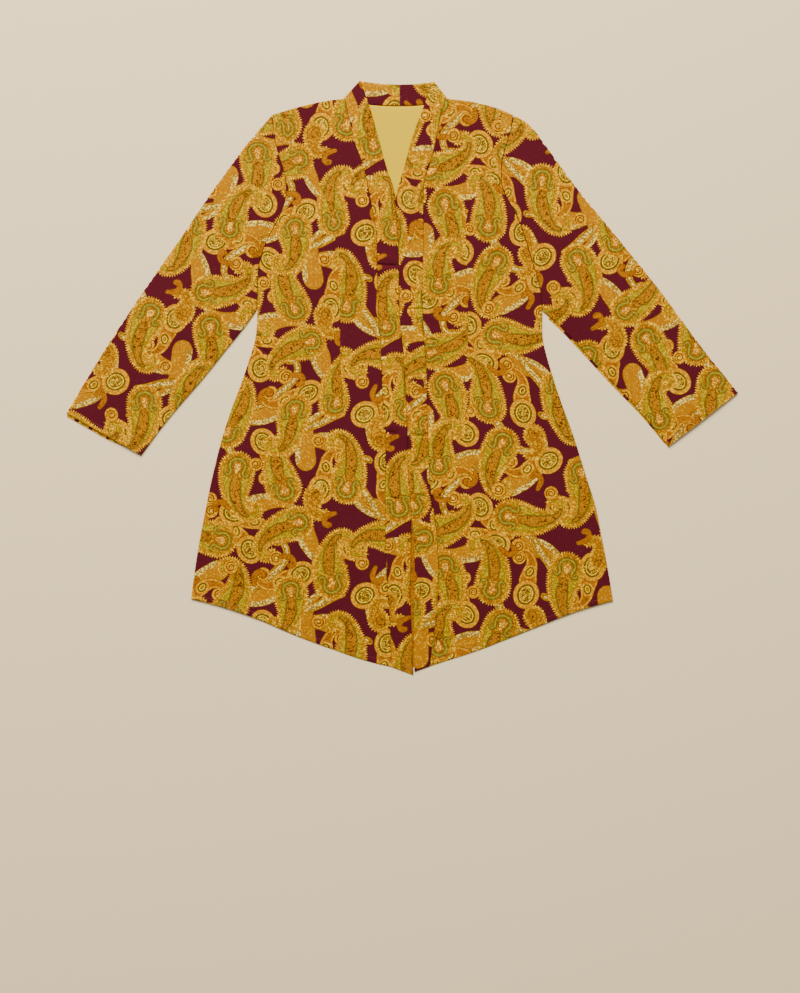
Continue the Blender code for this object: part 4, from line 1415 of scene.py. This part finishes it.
def stitchTree():
    tree = bpy.data.node_groups.new("stitchesAlongLines", "GeometryNodeTree")
    face = tree.interface
    face.new_socket("Geometry", in_out="INPUT", socket_type="NodeSocketGeometry")
    for name in ("Pitch", "Long", "Thick"):
        face.new_socket(name, in_out="INPUT", socket_type="NodeSocketFloat")
    face.new_socket("Seed", in_out="INPUT", socket_type="NodeSocketInt")
    face.new_socket("Thread", in_out="INPUT", socket_type="NodeSocketMaterial")
    face.new_socket("Geometry", in_out="OUTPUT", socket_type="NodeSocketGeometry")
    given = addNode(tree, "NodeGroupInput").outputs
    curve = addNode(tree, "GeometryNodeMeshToCurve", Mesh=given["Geometry"]).outputs[0]
    curve = addNode(tree, "GeometryNodeResampleCurve", {"mode": "LENGTH"}, Curve=curve,
                    Length=given["Pitch"]).outputs[0]
    radius = addNode(tree, "ShaderNodeMath", {"operation": "MULTIPLY"}, i0=given["Thick"], i1=0.5).outputs[0]
    stitch = addNode(tree, "GeometryNodeMeshCylinder", Vertices=6, Radius=radius,
                     Depth=given["Long"]).outputs[0]
    way = addNode(tree, "GeometryNodeInputTangent").outputs[0]
    turn = addNode(tree, "FunctionNodeAlignRotationToVector", {"axis": "Z"}, Vector=way).outputs[0]
    size = addNode(tree, "FunctionNodeRandomValue", {"data_type": "FLOAT"}, i2=stitchSizes["least"],
                   i3=stitchSizes["most"], Seed=given["Seed"])
    laid = addNode(tree, "GeometryNodeInstanceOnPoints", Points=curve, Instance=stitch, Rotation=turn,
                   Scale=size.outputs[1])
    real = addNode(tree, "GeometryNodeRealizeInstances", Geometry=laid.outputs[0]).outputs[0]
    made = addNode(tree, "GeometryNodeSetMaterial", Geometry=real, Material=given["Thread"]).outputs[0]
    addNode(tree, "NodeGroupOutput", Geometry=made)
    return tree


def sewStitches():
    points, edges = [], []
    for line in seamStitches:
        base = len(points)
        points += [((p + (0, 0, stitchSizes["lift"])) * mm).tolist() for p in line]
        edges += [(base + k, base + k + 1) for k in range(len(line) - 1)]
    mesh = bpy.data.meshes.new("hemLines")
    mesh.from_pydata(points, edges, [])
    guide = addObject("hemLines", mesh)
    layer = guide.modifiers.new("stitches", "NODES")
    layer.node_group = stitchTree()
    values = {"Pitch": stitchSizes["pitch"] * mm, "Long": stitchSizes["long"] * mm,
              "Thick": stitchSizes["thick"] * mm, "Seed": stitchSizes["seed"], "Thread": sewingThread}
    for socket in layer.node_group.interface.items_tree:
        if socket.name in values:
            layer[socket.identifier] = values[socket.name]
    seen = guide.evaluated_get(bpy.context.evaluated_depsgraph_get())
    stitches = addObject("hemStitches", bpy.data.meshes.new_from_object(seen))
    bpy.data.objects.remove(guide)
    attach(stitches, "root")
    print("hem stitches", len(stitches.data.polygons), "faces")


sewStitches()


# Floor and light

# metres and watts
roomSizes = {
    "floor": 12.0, "floorTop": -0.0002, "lampSize": 3.0, "lampPower": 765.0, "lampPlace": (-1.0, 4.2, 3.2),
    "warmLight": (1.0, 0.95, 0.82), "fill": 0.42,
}
floorMesh = bpy.data.meshes.new("muslinFloor")
edge = roomSizes["floor"] / 2
corners = [(x * edge, y * edge, roomSizes["floorTop"]) for x, y in ((-1, -1), (1, -1), (1, 1), (-1, 1))]
floorMesh.from_pydata(corners, [], [(0, 1, 2, 3)])
floorMesh.materials.append(plainCloth("paleMuslin", "#f2ddb6", 0.85))  # unbleached cotton, quite dull
addObject("muslinFloor", floorMesh)

lamp = bpy.data.lights.new("softWindow", "AREA")
lamp.size = roomSizes["lampSize"]
lamp.energy = roomSizes["lampPower"]
lamp.color = roomSizes["warmLight"]
window = addObject("softWindow", lamp)
window.location = roomSizes["lampPlace"]
window.rotation_euler = (-window.location).to_track_quat("-Z", "Y").to_euler()
world = bpy.data.worlds.new("room")
world.use_nodes = True
background = world.node_tree.nodes["Background"].inputs
background[0].default_value = (*roomSizes["warmLight"], 1.0)
background[1].default_value = roomSizes["fill"]
bpy.context.scene.world = world
print("room ready")
